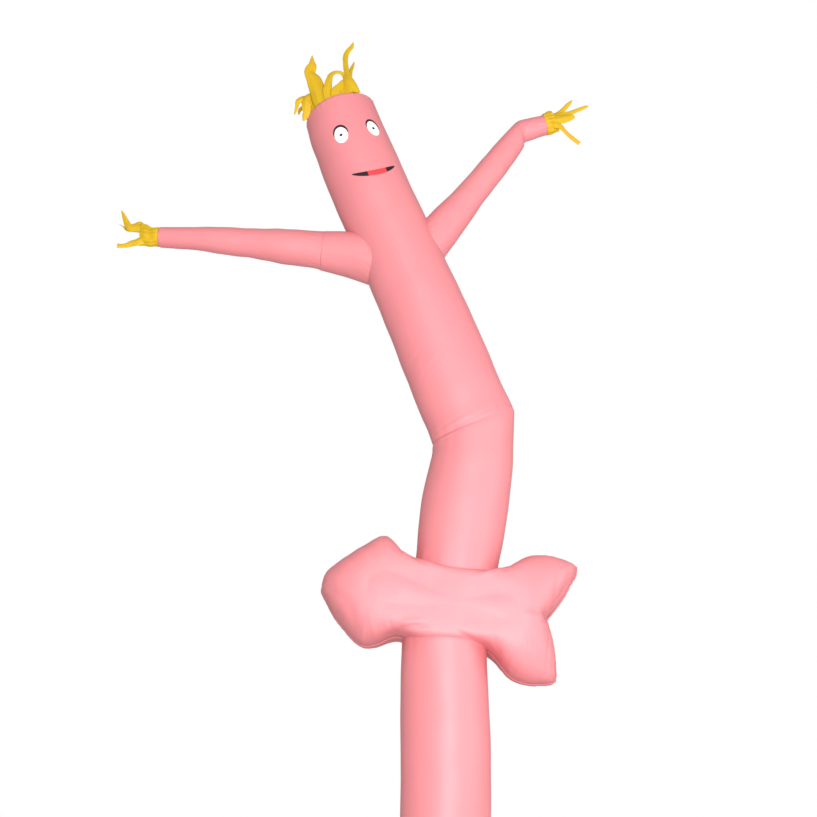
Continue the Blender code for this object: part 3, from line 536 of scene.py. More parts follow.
# Columns: along, inner edge, outer edge of the upper half, then of the lower half.
ARROW_ROWS = np.array((
    (-0.686, 0.000, 0.030, -0.686, 0.000, 0.022),
    (-0.679, 0.000, 0.064, -0.679, 0.000, 0.042),
    (-0.656, 0.000, 0.098, -0.656, 0.000, 0.072),
    (-0.595, 0.000, 0.158, -0.595, 0.000, 0.152),
    (-0.532, 0.000, 0.216, -0.532, 0.000, 0.211),
    (-0.469, 0.000, 0.268, -0.469, 0.000, 0.263),
    (-0.424, 0.000, 0.304, -0.424, 0.000, 0.284),
    (-0.395, 0.000, 0.315, -0.395, 0.000, 0.284),
    (-0.368, 0.000, 0.310, -0.368, 0.000, 0.276),
    (-0.329, 0.000, 0.280, -0.329, 0.000, 0.257),
    (-0.288, 0.000, 0.237, -0.288, 0.000, 0.228),
    (-0.234, 0.000, 0.208, -0.234, 0.000, 0.210),
    (-0.120, 0.000, 0.183, -0.120, 0.000, 0.230),
    (0.000, 0.000, 0.167, 0.000, 0.000, 0.221),
    (0.120, 0.000, 0.178, 0.120, 0.000, 0.207),
    (0.222, 0.000, 0.206, 0.222, 0.000, 0.208),
    (0.289, 0.000, 0.233, 0.289, 0.000, 0.247),
    (0.327, 0.000, 0.268, 0.327, 0.000, 0.286),
    (0.373, 0.000, 0.307, 0.373, 0.000, 0.326),
    (0.427, 0.000, 0.329, 0.427, 0.000, 0.346),
    (0.490, 0.000, 0.338, 0.490, 0.000, 0.351),
    (0.532, 0.000, 0.338, 0.532, 0.000, 0.344),
    (0.575, 0.072, 0.335, 0.556, 0.066, 0.340),
    (0.612, 0.142, 0.327, 0.577, 0.114, 0.336),
    (0.640, 0.216, 0.318, 0.596, 0.183, 0.329),
    (0.662, 0.262, 0.308, 0.614, 0.280, 0.314),
))


def half_plan(first, side, rows_fine, share):
    """One half of the outline laid flat: row number and share of the way out to along, out.
    Before the notch a row runs from the middle to the edge as a sine, so that its points
    crowd at the edge, and past the notch it runs between two edges and crowds at both."""
    knots = np.arange(len(ARROW_ROWS), dtype=float)
    before = rows_fine <= NOTCH_ROW
    columns = ARROW_ROWS[:, first:first + 3]
    shaft = cubic(columns[:NOTCH_ROW + 1], knots[:NOTCH_ROW + 1], np.minimum(rows_fine, NOTCH_ROW))
    fins = cubic(columns[NOTCH_ROW:], knots[NOTCH_ROW:], np.maximum(rows_fine, NOTCH_ROW))
    along, inner, outer = np.where(before[:, None], shaft, fins).T[:, :, None]
    sine, both = np.sin(0.5 * math.pi * share), 0.5 * (1.0 - np.cos(math.pi * share))
    blend = smooth_step(NOTCH_ROW, NOTCH_ROW + 1.0, rows_fine)[:, None]
    out = inner + (outer - inner) * ((1.0 - blend) * sine + blend * both)
    return np.stack((along + 0.0 * out, side * out), axis=-1)


def puff_shares(rows, columns):
    """Height of the panel over the coarse plan, as a share of the height in its middle: the
    square root of the solution of Poisson's equation, which is zero along the outline."""
    plans = [half_plan(first, side, rows, columns) for side, first in ((1.0, 0), (-1.0, 3))]
    every = np.vstack([plan.reshape(-1, 2) for plan in plans])
    _, first_of, welded = np.unique(np.round(every, 6), axis=0, return_index=True, return_inverse=True)
    points, welded = every[first_of], welded.ravel()
    row, column = (index.ravel() for index in np.mgrid[0:len(rows) - 1, 0:len(columns) - 1])
    corner = row * len(columns) + column
    faces = []
    for start in (0, len(rows) * len(columns)):
        a, b = start + corner, start + corner + 1
        c, d = b + len(columns), a + len(columns)
        faces += [np.stack((a, b, c), axis=1), np.stack((a, c, d), axis=1)]
    faces = welded[np.vstack(faces)]
    sides = np.sort(np.vstack((faces[:, (0, 1)], faces[:, (1, 2)], faces[:, (2, 0)])), axis=1)
    pairs, counts = np.unique(sides, axis=0, return_counts=True)
    count = len(points)
    stiff, load = np.zeros((count, count)), np.zeros(count)
    for turn in range(3):
        a, b, c = (faces[:, (turn + k) % 3] for k in range(3))
        to_a, to_b = points[a] - points[c], points[b] - points[c]
        cross = np.maximum(np.abs(to_a[:, 0] * to_b[:, 1] - to_a[:, 1] * to_b[:, 0]), 1e-9)
        weight = 0.5 * (to_a * to_b).sum(axis=1) / cross
        for i, j, value in ((a, b, -weight), (b, a, -weight), (a, a, weight), (b, b, weight)):
            np.add.at(stiff, (i, j), value)
        np.add.at(load, c, cross / 6.0)
    free = np.setdiff1d(np.arange(count), np.unique(pairs[counts == 1]))
    lift = np.zeros(count)
    lift[free] = np.linalg.solve(stiff[np.ix_(free, free)], load[free])
    middle = np.argmin(np.hypot(points[:, 0], points[:, 1]))
    share = np.sqrt(np.clip(lift, 0.0, None) / lift[middle])[welded]
    return share.reshape(2, len(rows), len(columns))


COARSE_ROWS = np.arange(len(ARROW_ROWS), dtype=float)
COARSE_COLUMNS = np.linspace(0.0, 1.0, 13)
PUFF = puff_shares(COARSE_ROWS, COARSE_COLUMNS)
print("puff over the shaft's middle", round(float(PUFF[0, 13, 0]), 3), "most", round(float(PUFF.max()), 3))

# %% [markdown]
# The arrow's panels
#
# The leg runs on up through the arrow, so over the crossing a panel can't sink below the
# tube. The panel takes the larger of the two heights, the pillow's and the tube's, with the
# change between them rounded off. That gives what sewing gives: a valley that is deep at the
# tube's sides and fades to nothing on its front.

# %% Panels and gussets
CROSSING_Z = (2.210, 2.410, 2.510, 2.720)
CROSSING_X = (0.071, 0.080, 0.115, 0.150)
CROSSING_RADIUS = 0.2272
VALLEY = 0.010
BOX_AT_LEG, BOX_AT_ENDS, BOX_REACH = 6.0, 1.45, 0.26
ROWS_FINE = np.concatenate((np.linspace(0, NOTCH_ROW, 211), np.linspace(NOTCH_ROW, 25, 34)[1:]))
SHARES_FINE = np.linspace(0.0, 1.0, 33)


def arrow_to_space(along, out, y):
    """From the arrow's own plan to the frame: a turn in the picture plane and a shift."""
    return np.stack((ARROW_X + along * math.cos(ARROW_TURN) + out * math.sin(ARROW_TURN), y + 0.0 * along,
                     ARROW_Z - along * math.sin(ARROW_TURN) + out * math.cos(ARROW_TURN)), axis=-1)


def tube_height(along, out):
    """How far the leg stands out in front of the arrow's plane: a half circle over the
    distance from the leg's middle line, and nothing beside it."""
    x, _, z = np.moveaxis(arrow_to_space(along, out, 0.0), -1, 0)
    off = (x - np.interp(z, CROSSING_Z, CROSSING_X)) * math.cos(math.radians(6.0))
    return np.sqrt(np.clip(CROSSING_RADIUS ** 2 - off ** 2, 0.0, None))


def larger(a, b, rounding):
    """The larger of two heights with the change rounded off."""
    return 0.5 * (a + b + np.sqrt((a - b) ** 2 + rounding ** 2))


def panel_height(along, out, share):
    """The gusset's half width + the puff, which is squarer over the leg than at both ends:
    1 - (1 - share) to a power."""
    power = BOX_AT_ENDS + (BOX_AT_LEG - BOX_AT_ENDS) * fade(along, BOX_REACH)
    squared = 1.0 - (1.0 - np.minimum(share, 1.0)) ** power + 0.6 * np.maximum(share - 1.0, 0.0)
    pillow = GUSSET + (ARROW_DEPTH - GUSSET) * squared
    return larger(pillow, tube_height(along, out), VALLEY)


def fine_shares(half):
    """The coarse puff carried to the fine grid: the cubic down the rows, then across them."""
    down = cubic(PUFF[half], COARSE_ROWS, ROWS_FINE)
    return np.clip(cubic(down.T, COARSE_COLUMNS, SHARES_FINE).T, 0.0, None)


upper, lower = half_plan(0, 1.0, ROWS_FINE, SHARES_FINE), half_plan(3, -1.0, ROWS_FINE, SHARES_FINE)
upper_share, lower_share = fine_shares(0), fine_shares(1)
print("panel grid", upper.shape[0], "rows of", 2 * upper.shape[1] - 1)


def outline_loop():
    """The outline as one loop of plan points: out along the upper edge, round the upper fin,
    into the notch, round the lower fin, back along the lower edge, and round the tip."""
    notch = int(np.argmax(ROWS_FINE >= NOTCH_ROW))
    pieces = (upper[:, -1], upper[-1, ::-1][1:], upper[notch:, 0][::-1][1:], lower[notch:, 0][1:],
              lower[-1, :][1:], lower[:, -1][::-1][1:], lower[0, ::-1][1:], upper[0, :][1:-1])
    loop = np.vstack(pieces)
    keep = np.linalg.norm(loop - np.roll(loop, 1, axis=0), axis=1) > 1e-5
    return loop[keep]


OUTLINE = outline_loop()
OUTLINE_REACH = np.concatenate(((0.0,), np.cumsum(np.linalg.norm(np.diff(OUTLINE, axis=0), axis=1))))


def rim_distance(plan):
    """Distance from each plan point to the outline, and how far round it the nearest place is."""
    flat = plan.reshape(-1, 2)
    gaps = np.linalg.norm(flat[:, None, :] - OUTLINE[None, :, :], axis=-1)
    nearest = gaps.argmin(axis=1)
    shape = plan.shape[:2]
    return gaps[np.arange(len(flat)), nearest].reshape(shape), OUTLINE_REACH[nearest].reshape(shape)


# Folds on the front panel. Columns: along, out of one end, then of the other, width, depth.
FRONT_FOLDS = (
    (-0.235, 0.200, -0.130, 0.150, 0.012, 0.009),
    (0.250, 0.215, 0.110, 0.150, 0.012, 0.008),
    (-0.235, -0.200, -0.090, -0.165, 0.013, 0.010),
    (0.250, -0.240, 0.050, -0.170, 0.014, 0.011),
    (0.300, -0.255, 0.240, -0.150, 0.020, 0.004),
    (-0.288, 0.228, -0.286, 0.175, 0.008, 0.004),
    (-0.271, -0.220, -0.290, -0.165, 0.010, 0.004),
    (0.530, -0.004, 0.400, 0.000, 0.016, 0.010),
    (0.532, -0.010, 0.460, -0.100, 0.012, 0.005),
    (-0.417, -0.262, -0.321, -0.188, 0.0035, 0.0022),
    (-0.398, -0.268, -0.360, -0.200, 0.0030, 0.0012),
    (0.386, -0.204, 0.481, -0.156, 0.0035, 0.0020),
    (-0.640, -0.030, -0.495, -0.124, 0.024, 0.004),
    (-0.520, -0.110, -0.450, -0.240, 0.024, 0.004),
    (0.540, 0.020, 0.645, 0.245, 0.018, 0.006),
)


def panel_grids(side):
    """The two halves of the front (side -1) or back (1) panel, with their relief."""
    grids, seams, normals = [], [], []
    for plan, share in ((lower, lower_share), (upper, upper_share)):
        height = panel_height(plan[..., 0], plan[..., 1], share)
        grid = arrow_to_space(plan[..., 0], plan[..., 1], side * height)
        normal = grid_normals(grid, closed=False)
        normals.append(normal * np.sign(side * normal[..., 1:2]))
        grids.append(grid)
    shared = ROWS_FINE <= NOTCH_ROW
    middle = normals[0][shared, 0] + normals[1][shared, 0]
    middle /= np.linalg.norm(middle, axis=-1, keepdims=True)
    reliefs = []
    for number, plan in enumerate((lower, upper)):
        normals[number][shared, 0] = middle
        distance, round_it = rim_distance(plan)
        on_tube = tube_height(plan[..., 0], plan[..., 1]) > GUSSET
        rise = smooth_step(0.0, 0.016, distance)
        relief = puckers(distance, round_it, 0.047, 0.0013, 0.040, 11 + number)
        relief += puckers(distance, round_it, 0.115, 0.0022, 0.090, 15 + number)
        relief = np.where(on_tube, 0.35, 1.0) * relief
        relief += 0.0020 * swell(grids[number], 0.34, 21) + 0.0009 * swell(grids[number], 0.11, 22)
        if side < 0:
            relief += fold_lines(plan[..., 0], plan[..., 1], FRONT_FOLDS)
        reliefs.append(rise * relief)
        seams.append(distance)
    apart = reliefs[0][:, :1] - reliefs[1][:, :1]
    for number, sign in ((0, -0.5), (1, 0.5)):
        spread = smooth_step(0.0, 1.0, 1.0 - 1.6 * SHARES_FINE)[None, :] * shared[:, None]
        relief = reliefs[number] + sign * apart * spread
        grids[number] = grids[number] + relief[..., None] * normals[number]
    return [grids[0][:, ::-1], grids[1]], [seams[0][:, ::-1], seams[1]]


def gusset_grid(loop):
    """The strip between the panels along part of the outline: straight across from seam to
    seam with a bulge outwards, bulge * (1 - across squared)."""
    plan, outward = loop[:, :2], loop[:, 2:]
    half = larger(np.full(len(plan), GUSSET), tube_height(plan[:, 0], plan[:, 1]), VALLEY)
    across = np.linspace(-1.0, 1.0, 9)[None, :]
    reach = np.concatenate(((0.0,), np.cumsum(np.linalg.norm(np.diff(plan, axis=0), axis=1))))[:, None]
    bulge = (GUSSET_BULGE + puckers(0.0, reach, 0.040, 0.0010, 1.0, 31)) * (1.0 - across ** 2)
    along = plan[:, :1] + bulge * outward[:, :1]
    out = plan[:, 1:] + bulge * outward[:, 1:]
    return arrow_to_space(along, out, half[:, None] * across)


def outline_part(side):
    """The outline of the head (side -1) or the tail (1), outside the tube, with outward
    directions: the step along it turned by a right angle."""
    step = np.roll(OUTLINE, -1, axis=0) - np.roll(OUTLINE, 1, axis=0)
    outward = np.stack((-step[:, 1], step[:, 0]), axis=1)
    outward /= np.linalg.norm(outward, axis=1, keepdims=True)
    for _ in range(3):
        outward = 0.5 * outward + 0.25 * (np.roll(outward, 1, axis=0) + np.roll(outward, -1, axis=0))
    outward /= np.linalg.norm(outward, axis=1, keepdims=True)
    chosen = np.flatnonzero((tube_height(OUTLINE[:, 0], OUTLINE[:, 1]) < 0.8 * CROSSING_RADIUS)
                            & (side * OUTLINE[:, 0] > 0.12))
    breaks = np.flatnonzero(np.diff(chosen) > 1)
    if len(breaks):
        chosen = np.roll(chosen, -(breaks[0] + 1))
    return np.hstack((OUTLINE[chosen], outward[chosen]))


# On a panel the cloth's own coordinates are the plan's.
PANEL_UVS = [(plan[..., 0], plan[..., 1]) for plan in (lower[:, ::-1], upper)]
for name, side in (("arrow_front_skin", -1.0), ("arrow_back_skin", 1.0)):
    grids, seams = panel_grids(side)
    keep(grids_piece(name, grids, uvs=PANEL_UVS, seams=seams, flip=side < 0), PINK, grids, closed=False)
for name, side in (("arrow_head_gusset", -1.0), ("arrow_tail_gusset", 1.0)):
    strip = gusset_grid(outline_part(side))
    keep(grid_piece(name, strip, closed=False), PINK, [strip], closed=False)

# %% [markdown]
# The leg and the body
#
# Both are one tube of the same cloth. Each ends where it meets the arrow, so the distance
# along the tube at which its skin crosses the arrow's edge is found for every angle round it,
# and the grid is stretched to end just there. The body bends sharply at the waist. Air can't
# hold a tube straight where it folds, so the crease there stays as a corner: the rows are
# split at it, and each part gets its own cubic.

# %% Leg and body
SIDES = 160
ANGLES = np.linspace(0.0, 2.0 * math.pi, SIDES, endpoint=False)
TUBE_RADIUS = 0.2285
TUCK = 0.010
shaft_rows = slice(0, int(np.argmax(ROWS_FINE >= NOTCH_ROW)))
UPPER_EDGE = upper[shaft_rows, -1]
LOWER_EDGE = lower[shaft_rows, -1]


def space_to_arrow(points):
    """From the frame back to the arrow's own plan."""
    x, z = points[..., 0] - ARROW_X, points[..., 2] - ARROW_Z
    return (x * math.cos(ARROW_TURN) - z * math.sin(ARROW_TURN),
            x * math.sin(ARROW_TURN) + z * math.cos(ARROW_TURN))


def first_crossing(reach, value):
    """For every column, the reach at which value first passes from below 0 to above it."""
    index = np.argmax(value > 0.0, axis=0)
    column = np.arange(value.shape[1])
    low, high = value[index - 1, column], value[index, column]
    return reach[index - 1] + (reach[index] - reach[index - 1]) * low / (low - high)


def end_at_arrow(rows, low, high, edge, tuck):
    """For every angle, the reach at which a tube's skin passes an edge of the arrow, looked
    for between two shares of its length. tuck moves it on, under the panel."""
    reach = np.linspace(low, high, 400) * reach_of(rows)[-1]
    points = tube_point(rows, reach[:, None] + 0.0 * ANGLES, ANGLES + 0.0 * reach[:, None])
    along, out = space_to_arrow(points)
    return first_crossing(reach, out - np.interp(along, edge[:, 0], edge[:, 1]) - tuck)


def front_share(angle):
    """1 on the front of a tube, falling to 0 at its sides and behind."""
    return np.clip(-np.sin(angle), 0.0, 1.0)


def leg_skin():
    """The leg's points and their distance from the nearest sewn edge."""
    stop = end_at_arrow(LEG_ROWS, 0.5, 1.0, LOWER_EDGE, TUCK)[None, :]
    share = np.linspace(0.0, 1.0, 230)[:, None]
    reach = share * stop
    angle = ANGLES[None, :] + 0.0 * share
    points = tube_point(LEG_ROWS, reach, angle)
    around = TUBE_RADIUS * (angle - FRONT)
    to_arrow = stop - reach
    relief = puckers(to_arrow, around, 0.060, 0.0014, 0.040, 41)
    relief += puckers(to_arrow, around, 0.145, 0.0022, 0.120, 42)
    relief += puckers(reach, around, 0.043, 0.0022, 0.050, 43)
    relief += fold_lines(around, -to_arrow, LEG_FOLDS)
    relief += 0.0026 * swell(points, 0.60, 44) + 0.0009 * swell(points, 0.17, 45)
    relief *= smooth_step(0.0, 0.020, to_arrow)
    points = points + relief[..., None] * grid_normals(points, closed=True)
    points[0, :, 2] = 0.0
    return points, np.minimum(reach, to_arrow)


def body_rows_skin():
    """Waist, chest and the closing top of the head as one grid of points, with the distance
    of each point from the bend and from the arrow, and the chest's length."""
    start = end_at_arrow(WAIST_ROWS, 0.0, 0.5, UPPER_EDGE, -TUCK)[None, :]
    whole = reach_of(WAIST_ROWS)[-1]
    share = np.linspace(0.0, 1.0, 120)[:, None]
    waist_reach = start + (whole - start) * share
    angle = ANGLES[None, :]
    waist = tube_point(WAIST_ROWS, waist_reach, angle + 0.0 * waist_reach)
    chest_length = reach_of(CHEST_ROWS)[-1]
    chest_reach = np.linspace(0.0, chest_length, 250)[1:, None] + 0.0 * angle
    chest = tube_point(CHEST_ROWS, chest_reach, angle + 0.0 * chest_reach)
    x, z, tilt, width, depth = CHEST_ROWS[-1]
    turn = math.radians(tilt)
    closing = np.array([(0.0, 0.0)] + list(SHOULDER))
    bend = cubic(closing, np.arange(len(closing), dtype=float), np.linspace(0.0, len(closing) - 1.0, 15))[1:]
    top = [section_point(x - rise * math.sin(turn), z + rise * math.cos(turn), tilt, width - inset,
                         depth - inset, ANGLES) for rise, inset in bend]
    points = np.concatenate((waist, chest, np.array(top)))
    beyond = chest_length + np.cumsum(np.full(len(top), 0.006))[:, None] + 0.0 * angle
    station = np.concatenate((waist_reach - whole, chest_reach, beyond))
    from_arrow = np.concatenate((waist_reach - start, chest_reach + whole, beyond + whole))
    return points, station, from_arrow, chest_length


# Folds of the leg below the arrow, as distance round it from the front and up from the seam.
LEG_FOLDS = (
    (-0.210, -0.012, -0.120, -0.050, 0.012, 0.005),
    (0.215, -0.012, 0.120, -0.050, 0.012, 0.006),
    (0.050, -0.085, 0.190, -0.092, 0.0035, 0.0022),
    (0.060, -0.112, 0.200, -0.098, 0.0035, 0.0018),
    (0.120, -0.104, 0.150, -0.108, 0.0030, 0.0010),
)
# Folds of the body, as distance round it from the front and up from the crease.
BODY_FOLDS = (
    (-0.370, 0.000, 0.020, 0.030, 0.011, 0.0050),
    (-0.330, 0.030, 0.000, 0.075, 0.008, 0.0026),
    (-0.300, -0.030, -0.100, -0.060, 0.010, 0.0026),
    (-0.020, 0.030, 0.270, 0.052, 0.0055, 0.0024),
    (0.010, 0.006, 0.240, 0.024, 0.0050, 0.0020),
    (0.130, -0.014, 0.250, 0.000, 0.0045, 0.0014),
    (0.340, 0.010, 0.200, 0.050, 0.011, 0.0040),
    (-0.230, 0.330, 0.000, 0.430, 0.010, 0.0014),
    (-0.260, 0.450, -0.060, 0.520, 0.012, 0.0012),
)
# The bend: how far the front sinks and fills out round it, and how deep its crease is cut.
BEND_DROP, BEND_DROP_REACH = 0.030, 0.22
BEND_FILL, BEND_FILL_REACH = 0.016, 0.080
CREASE_DEPTH, CREASE_WIDTH = 0.004, 0.012
BODY_RADIUS = 0.236


def body_skin():
    """The body's points and their distance from the nearest sewn edge."""
    points, station, from_arrow, length = body_rows_skin()
    angle = ANGLES[None, :] + 0.0 * station
    around = BODY_RADIUS * ((angle - FRONT + math.pi) % (2.0 * math.pi) - math.pi)
    normal = grid_normals(points, closed=True)
    inner_side = 0.5 - 0.5 * np.cos(angle)
    crease = CREASE_DEPTH * (0.30 + 0.70 * inner_side ** 1.5) * front_or_side(angle)
    relief = BEND_FILL * front_share(angle) * fade(station, BEND_FILL_REACH)
    relief = relief - crease * fade(station, CREASE_WIDTH)
    relief += fold_lines(around, station, BODY_FOLDS)
    relief += puckers(from_arrow, around, 0.060, 0.0014, 0.040, 51)
    relief += puckers(from_arrow, around, 0.140, 0.0022, 0.120, 52)
    relief += puckers(station - length - 0.02, around, 0.042, 0.0025, 0.040, 53)
    relief += puckers(station, around, 0.085, 0.0010, 0.090, 54)
    relief += 0.0032 * swell(points, 0.60, 55) + 0.0011 * swell(points, 0.17, 56)
    relief *= smooth_step(0.0, 0.020, from_arrow)
    points = points + relief[..., None] * normal
    drop = BEND_DROP * front_share(angle) ** 1.3 * fade(station, BEND_DROP_REACH)
    tilt = np.radians(np.interp(station, (-0.3, 0.0, 0.3), (0.0, 12.0, 22.0)))
    points = points - drop[..., None] * np.stack((-np.sin(tilt), 0.0 * tilt, np.cos(tilt)), axis=-1)
    return points, np.minimum(from_arrow, length + 0.06 - station)


def front_or_side(angle):
    """The crease is full on the front and the inner side and gentler behind."""
    return 0.55 + 0.45 * np.clip(0.4 - np.sin(angle), 0.0, 1.0)


leg_points, leg_seam = leg_skin()
keep(grid_piece("leg_skin", leg_points, seam=leg_seam), PINK, [leg_points])
body_points, body_seam = body_skin()
keep(grid_piece("body_skin", body_points, seam=body_seam), PINK, [body_points])

# %% [markdown]
# The arms
#
# An arm is a long cone that is sewn into the body's side. Each line along the arm is followed
# outwards until it leaves the body, which here is a straight leaning tube, and the arm's grid
# starts there. The left arm is pieced with a ring seam where it starts to run thin.

# %% Arms
ARM_SIDES = 96
CHEST_TILT = 21.5
ARM_ANGLES = np.linspace(0.0, 2.0 * math.pi, ARM_SIDES, endpoint=False)


def outside_body(points):
    """Above 0 outside the chest: its ellipse's formula, x squared over width squared and y
    squared over depth squared, less 1, in the plane of the chest's own sections."""
    x, z, tilt, width, depth = (np.array(column) for column in zip(*CHEST_ROWS[5:11]))
    turn = math.radians(CHEST_TILT)
    up = (points[..., 0] * -math.sin(turn)) + points[..., 2] * math.cos(turn)
    rows_up = x * -math.sin(turn) + z * math.cos(turn)
    middle = np.interp(up, rows_up, x * math.cos(turn) + z * math.sin(turn))
    off = points[..., 0] * math.cos(turn) + points[..., 2] * math.sin(turn) - middle
    back = points[..., 1] / np.interp(up, rows_up, depth)
    return (off / np.interp(up, rows_up, width)) ** 2 + back ** 2 - 1.0


def arm_skin(rows, count, seed, start=None, stop=None):
    """An arm from the body's skin, or from a reach along it, to its last row."""
    rows = headed(rows)
    whole = reach_of(rows)[-1] if stop is None else stop
    if start is None:
        reach = np.linspace(0.0, 0.75 * reach_of(rows)[-1], 500)
        points = tube_point(rows, reach[:, None] + 0.0 * ARM_ANGLES, ARM_ANGLES + 0.0 * reach[:, None])
        begin = first_crossing(reach, outside_body(points))[None, :] - 0.004
    else:
        begin = np.full((1, ARM_SIDES), start)
    share = np.linspace(0.0, 1.0, count)[:, None]
    reach = begin + (whole - begin) * share
    angle = ARM_ANGLES[None, :] + 0.0 * share
    points = tube_point(rows, reach, angle)
    radius = np.interp(reach, reach_of(rows), np.array(rows)[:, 3])
    around = radius.mean(axis=1, keepdims=True) * (angle - FRONT)
    from_root, to_end = reach - begin, whole - reach
    relief = puckers(from_root, around, 0.036, 0.0024, 0.035, seed)
    relief += puckers(to_end, around, 0.030, 0.0016, 0.030, seed + 1)
    relief += 0.0022 * swell(points, 0.30, seed + 2) + 0.0008 * swell(points, 0.09, seed + 3)
    relief *= smooth_step(0.0, 0.012, from_root) * smooth_step(0.0, 0.008, to_end)
    return points, relief, reach, around, np.minimum(from_root, to_end)


def finish_arm(name, points, relief, seam):
    """Adds an arm's relief along its normals and makes the piece."""
    points = points + relief[..., None] * grid_normals(points, closed=True)
    keep(grid_piece(name, points, seam=seam), PINK, [points])


seam_reach = float(reach_of(headed(LEFT_ARM_ROWS))[LEFT_SEAM])
points, relief, reach, around, seam = arm_skin(LEFT_ARM_ROWS, 60, 61, stop=seam_reach)
relief += fold_lines(around, reach - seam_reach, (
    (-0.10, -0.300, -0.04, -0.060, 0.012, 0.006),
    (0.04, -0.260, 0.09, -0.020, 0.012, 0.005),
    (-0.02, -0.150, 0.03, -0.020, 0.010, 0.004),
))
finish_arm("arm_left_root_skin", points, relief, seam)
points, relief, reach, around, seam = arm_skin(LEFT_ARM_ROWS, 170, 65, start=seam_reach + 0.0006)
finish_arm("arm_left_skin", points, relief, seam)
points, relief, reach, around, seam = arm_skin(RIGHT_ARM_ROWS, 200, 71)
elbow = float(reach_of(headed(RIGHT_ARM_ROWS))[6])
bend = reach - elbow
relief += -0.006 * fade(bend - 0.03, 0.010) * np.clip(np.sin(around / 0.07 - 1.2), 0.0, 1.0)
relief += fold_lines(around, bend, (
    (-0.05, 0.000, 0.06, 0.030, 0.007, 0.006),
    (-0.02, -0.040, 0.08, 0.000, 0.007, 0.004),
    (-0.06, 0.050, 0.05, 0.065, 0.007, 0.004),
))
finish_arm("arm_right_skin", points, relief, seam)

# %% [markdown]
# Cuffs, fingers, crown and hair
#
# The hands and the crown are gathered yellow cloth. It ends in cut streamers, which the air
# that leaves the figure blows about. A streamer is a ribbon carried along a path: at each
# point it lies across the path, and it is folded along its middle, as a strip of thin cloth
# folds when air runs past it.

# %% Yellow tubes
GATHERED = 0.0012
RIBBON = 0.0010
BAND_ANGLES = np.linspace(0.0, 2.0 * math.pi, 120, endpoint=False)
HEAD_X, HEAD_Z, HEAD_TILT = CHEST_ROWS[-1][:3]
RIM = np.array((HEAD_X, 0.0, HEAD_Z))
HEAD_ACROSS = np.array((math.cos(math.radians(HEAD_TILT)), 0.0, math.sin(math.radians(HEAD_TILT))))
HEAD_UP = np.array((-HEAD_ACROSS[2], 0.0, HEAD_ACROSS[0]))
BACK = np.array((0.0, 1.0, 0.0))
# Columns: rise above the rim, shift to the right, half width.
CROWN_FOOT = 0.0203
CROWN_ROWS = np.array(((CROWN_FOOT, -0.020, 0.188), (0.060, -0.020, 0.184), (0.095, -0.020, 0.180),
                       (0.118, -0.020, 0.176), (0.140, -0.020, 0.173)))


def cuff_skin(rows, seed):
    """A gathered cuff: a tube whose pleats grow from its sewn end to its open end."""
    rows = headed(rows)
    share = np.linspace(0.0, 1.0, 26)[:, None]
    reach = share * reach_of(rows)[-1]
    angle = BAND_ANGLES[None, :] + 0.0 * share
    points = tube_point(rows, reach, angle)
    pleat = np.sin(13.0 * angle + 1.7 * np.sin(3.0 * angle + seed)) * (0.0012 + 0.0026 * share)
    pleat += 0.0020 * swell(points, 0.05, seed)
    pleat *= smooth_step(0.0, 0.10, share)
    return points + pleat[..., None] * grid_normals(points, closed=True)


# How high the crown stands, from its left side over its front to its right. Columns: angle, rise.
CROWN_TOP = np.array((
    (-180.0, 0.140), (-135.0, 0.140), (-122.0, 0.128), (-108.0, 0.104), (-99.0, 0.108),
    (-92.0, 0.078), (-80.0, 0.074), (-70.0, 0.112), (-55.0, 0.134), (-20.0, 0.120),
    (0.0, 0.120), (60.0, 0.138), (180.0, 0.140),
))


def crown_skin():
    """The crown: a low ring that leans with the head. Its top edge rises and falls, and
    uneven pleats grow towards it."""
    angle = np.linspace(-180.0, 180.0, 240, endpoint=False)[None, :]
    share = np.linspace(0.0, 1.0, 34)[:, None]
    top = np.interp(angle, CROWN_TOP[:, 0], CROWN_TOP[:, 1])
    rise = CROWN_FOOT + (top - CROWN_FOOT) * share
    shift, half = (np.interp(rise, CROWN_ROWS[:, 0], CROWN_ROWS[:, k]) for k in (1, 2))
    angle = np.radians(angle)
    pleat = np.sin(21.0 * angle + 2.2 * np.sin(4.0 * angle) + 1.1 * np.sin(7.0 * angle + 2.0))
    half = half + (0.0006 + 0.0024 * share) * pleat + 0.003 * share * np.sin(9.0 * angle + 3.0 * share)
    direction = np.cos(angle)[..., None] * HEAD_ACROSS + np.sin(angle)[..., None] * BACK
    return (RIM + rise[..., None] * HEAD_UP + shift[..., None] * HEAD_ACROSS
            + half[..., None] * direction)


for name, points in (("cuff_left_skin", cuff_skin(LEFT_CUFF_ROWS, 3)),
                     ("cuff_right_skin", cuff_skin(RIGHT_CUFF_ROWS, 5)), ("crown_skin", crown_skin())):
    keep(grid_piece(name, points, thickness=GATHERED), YELLOW, [points])

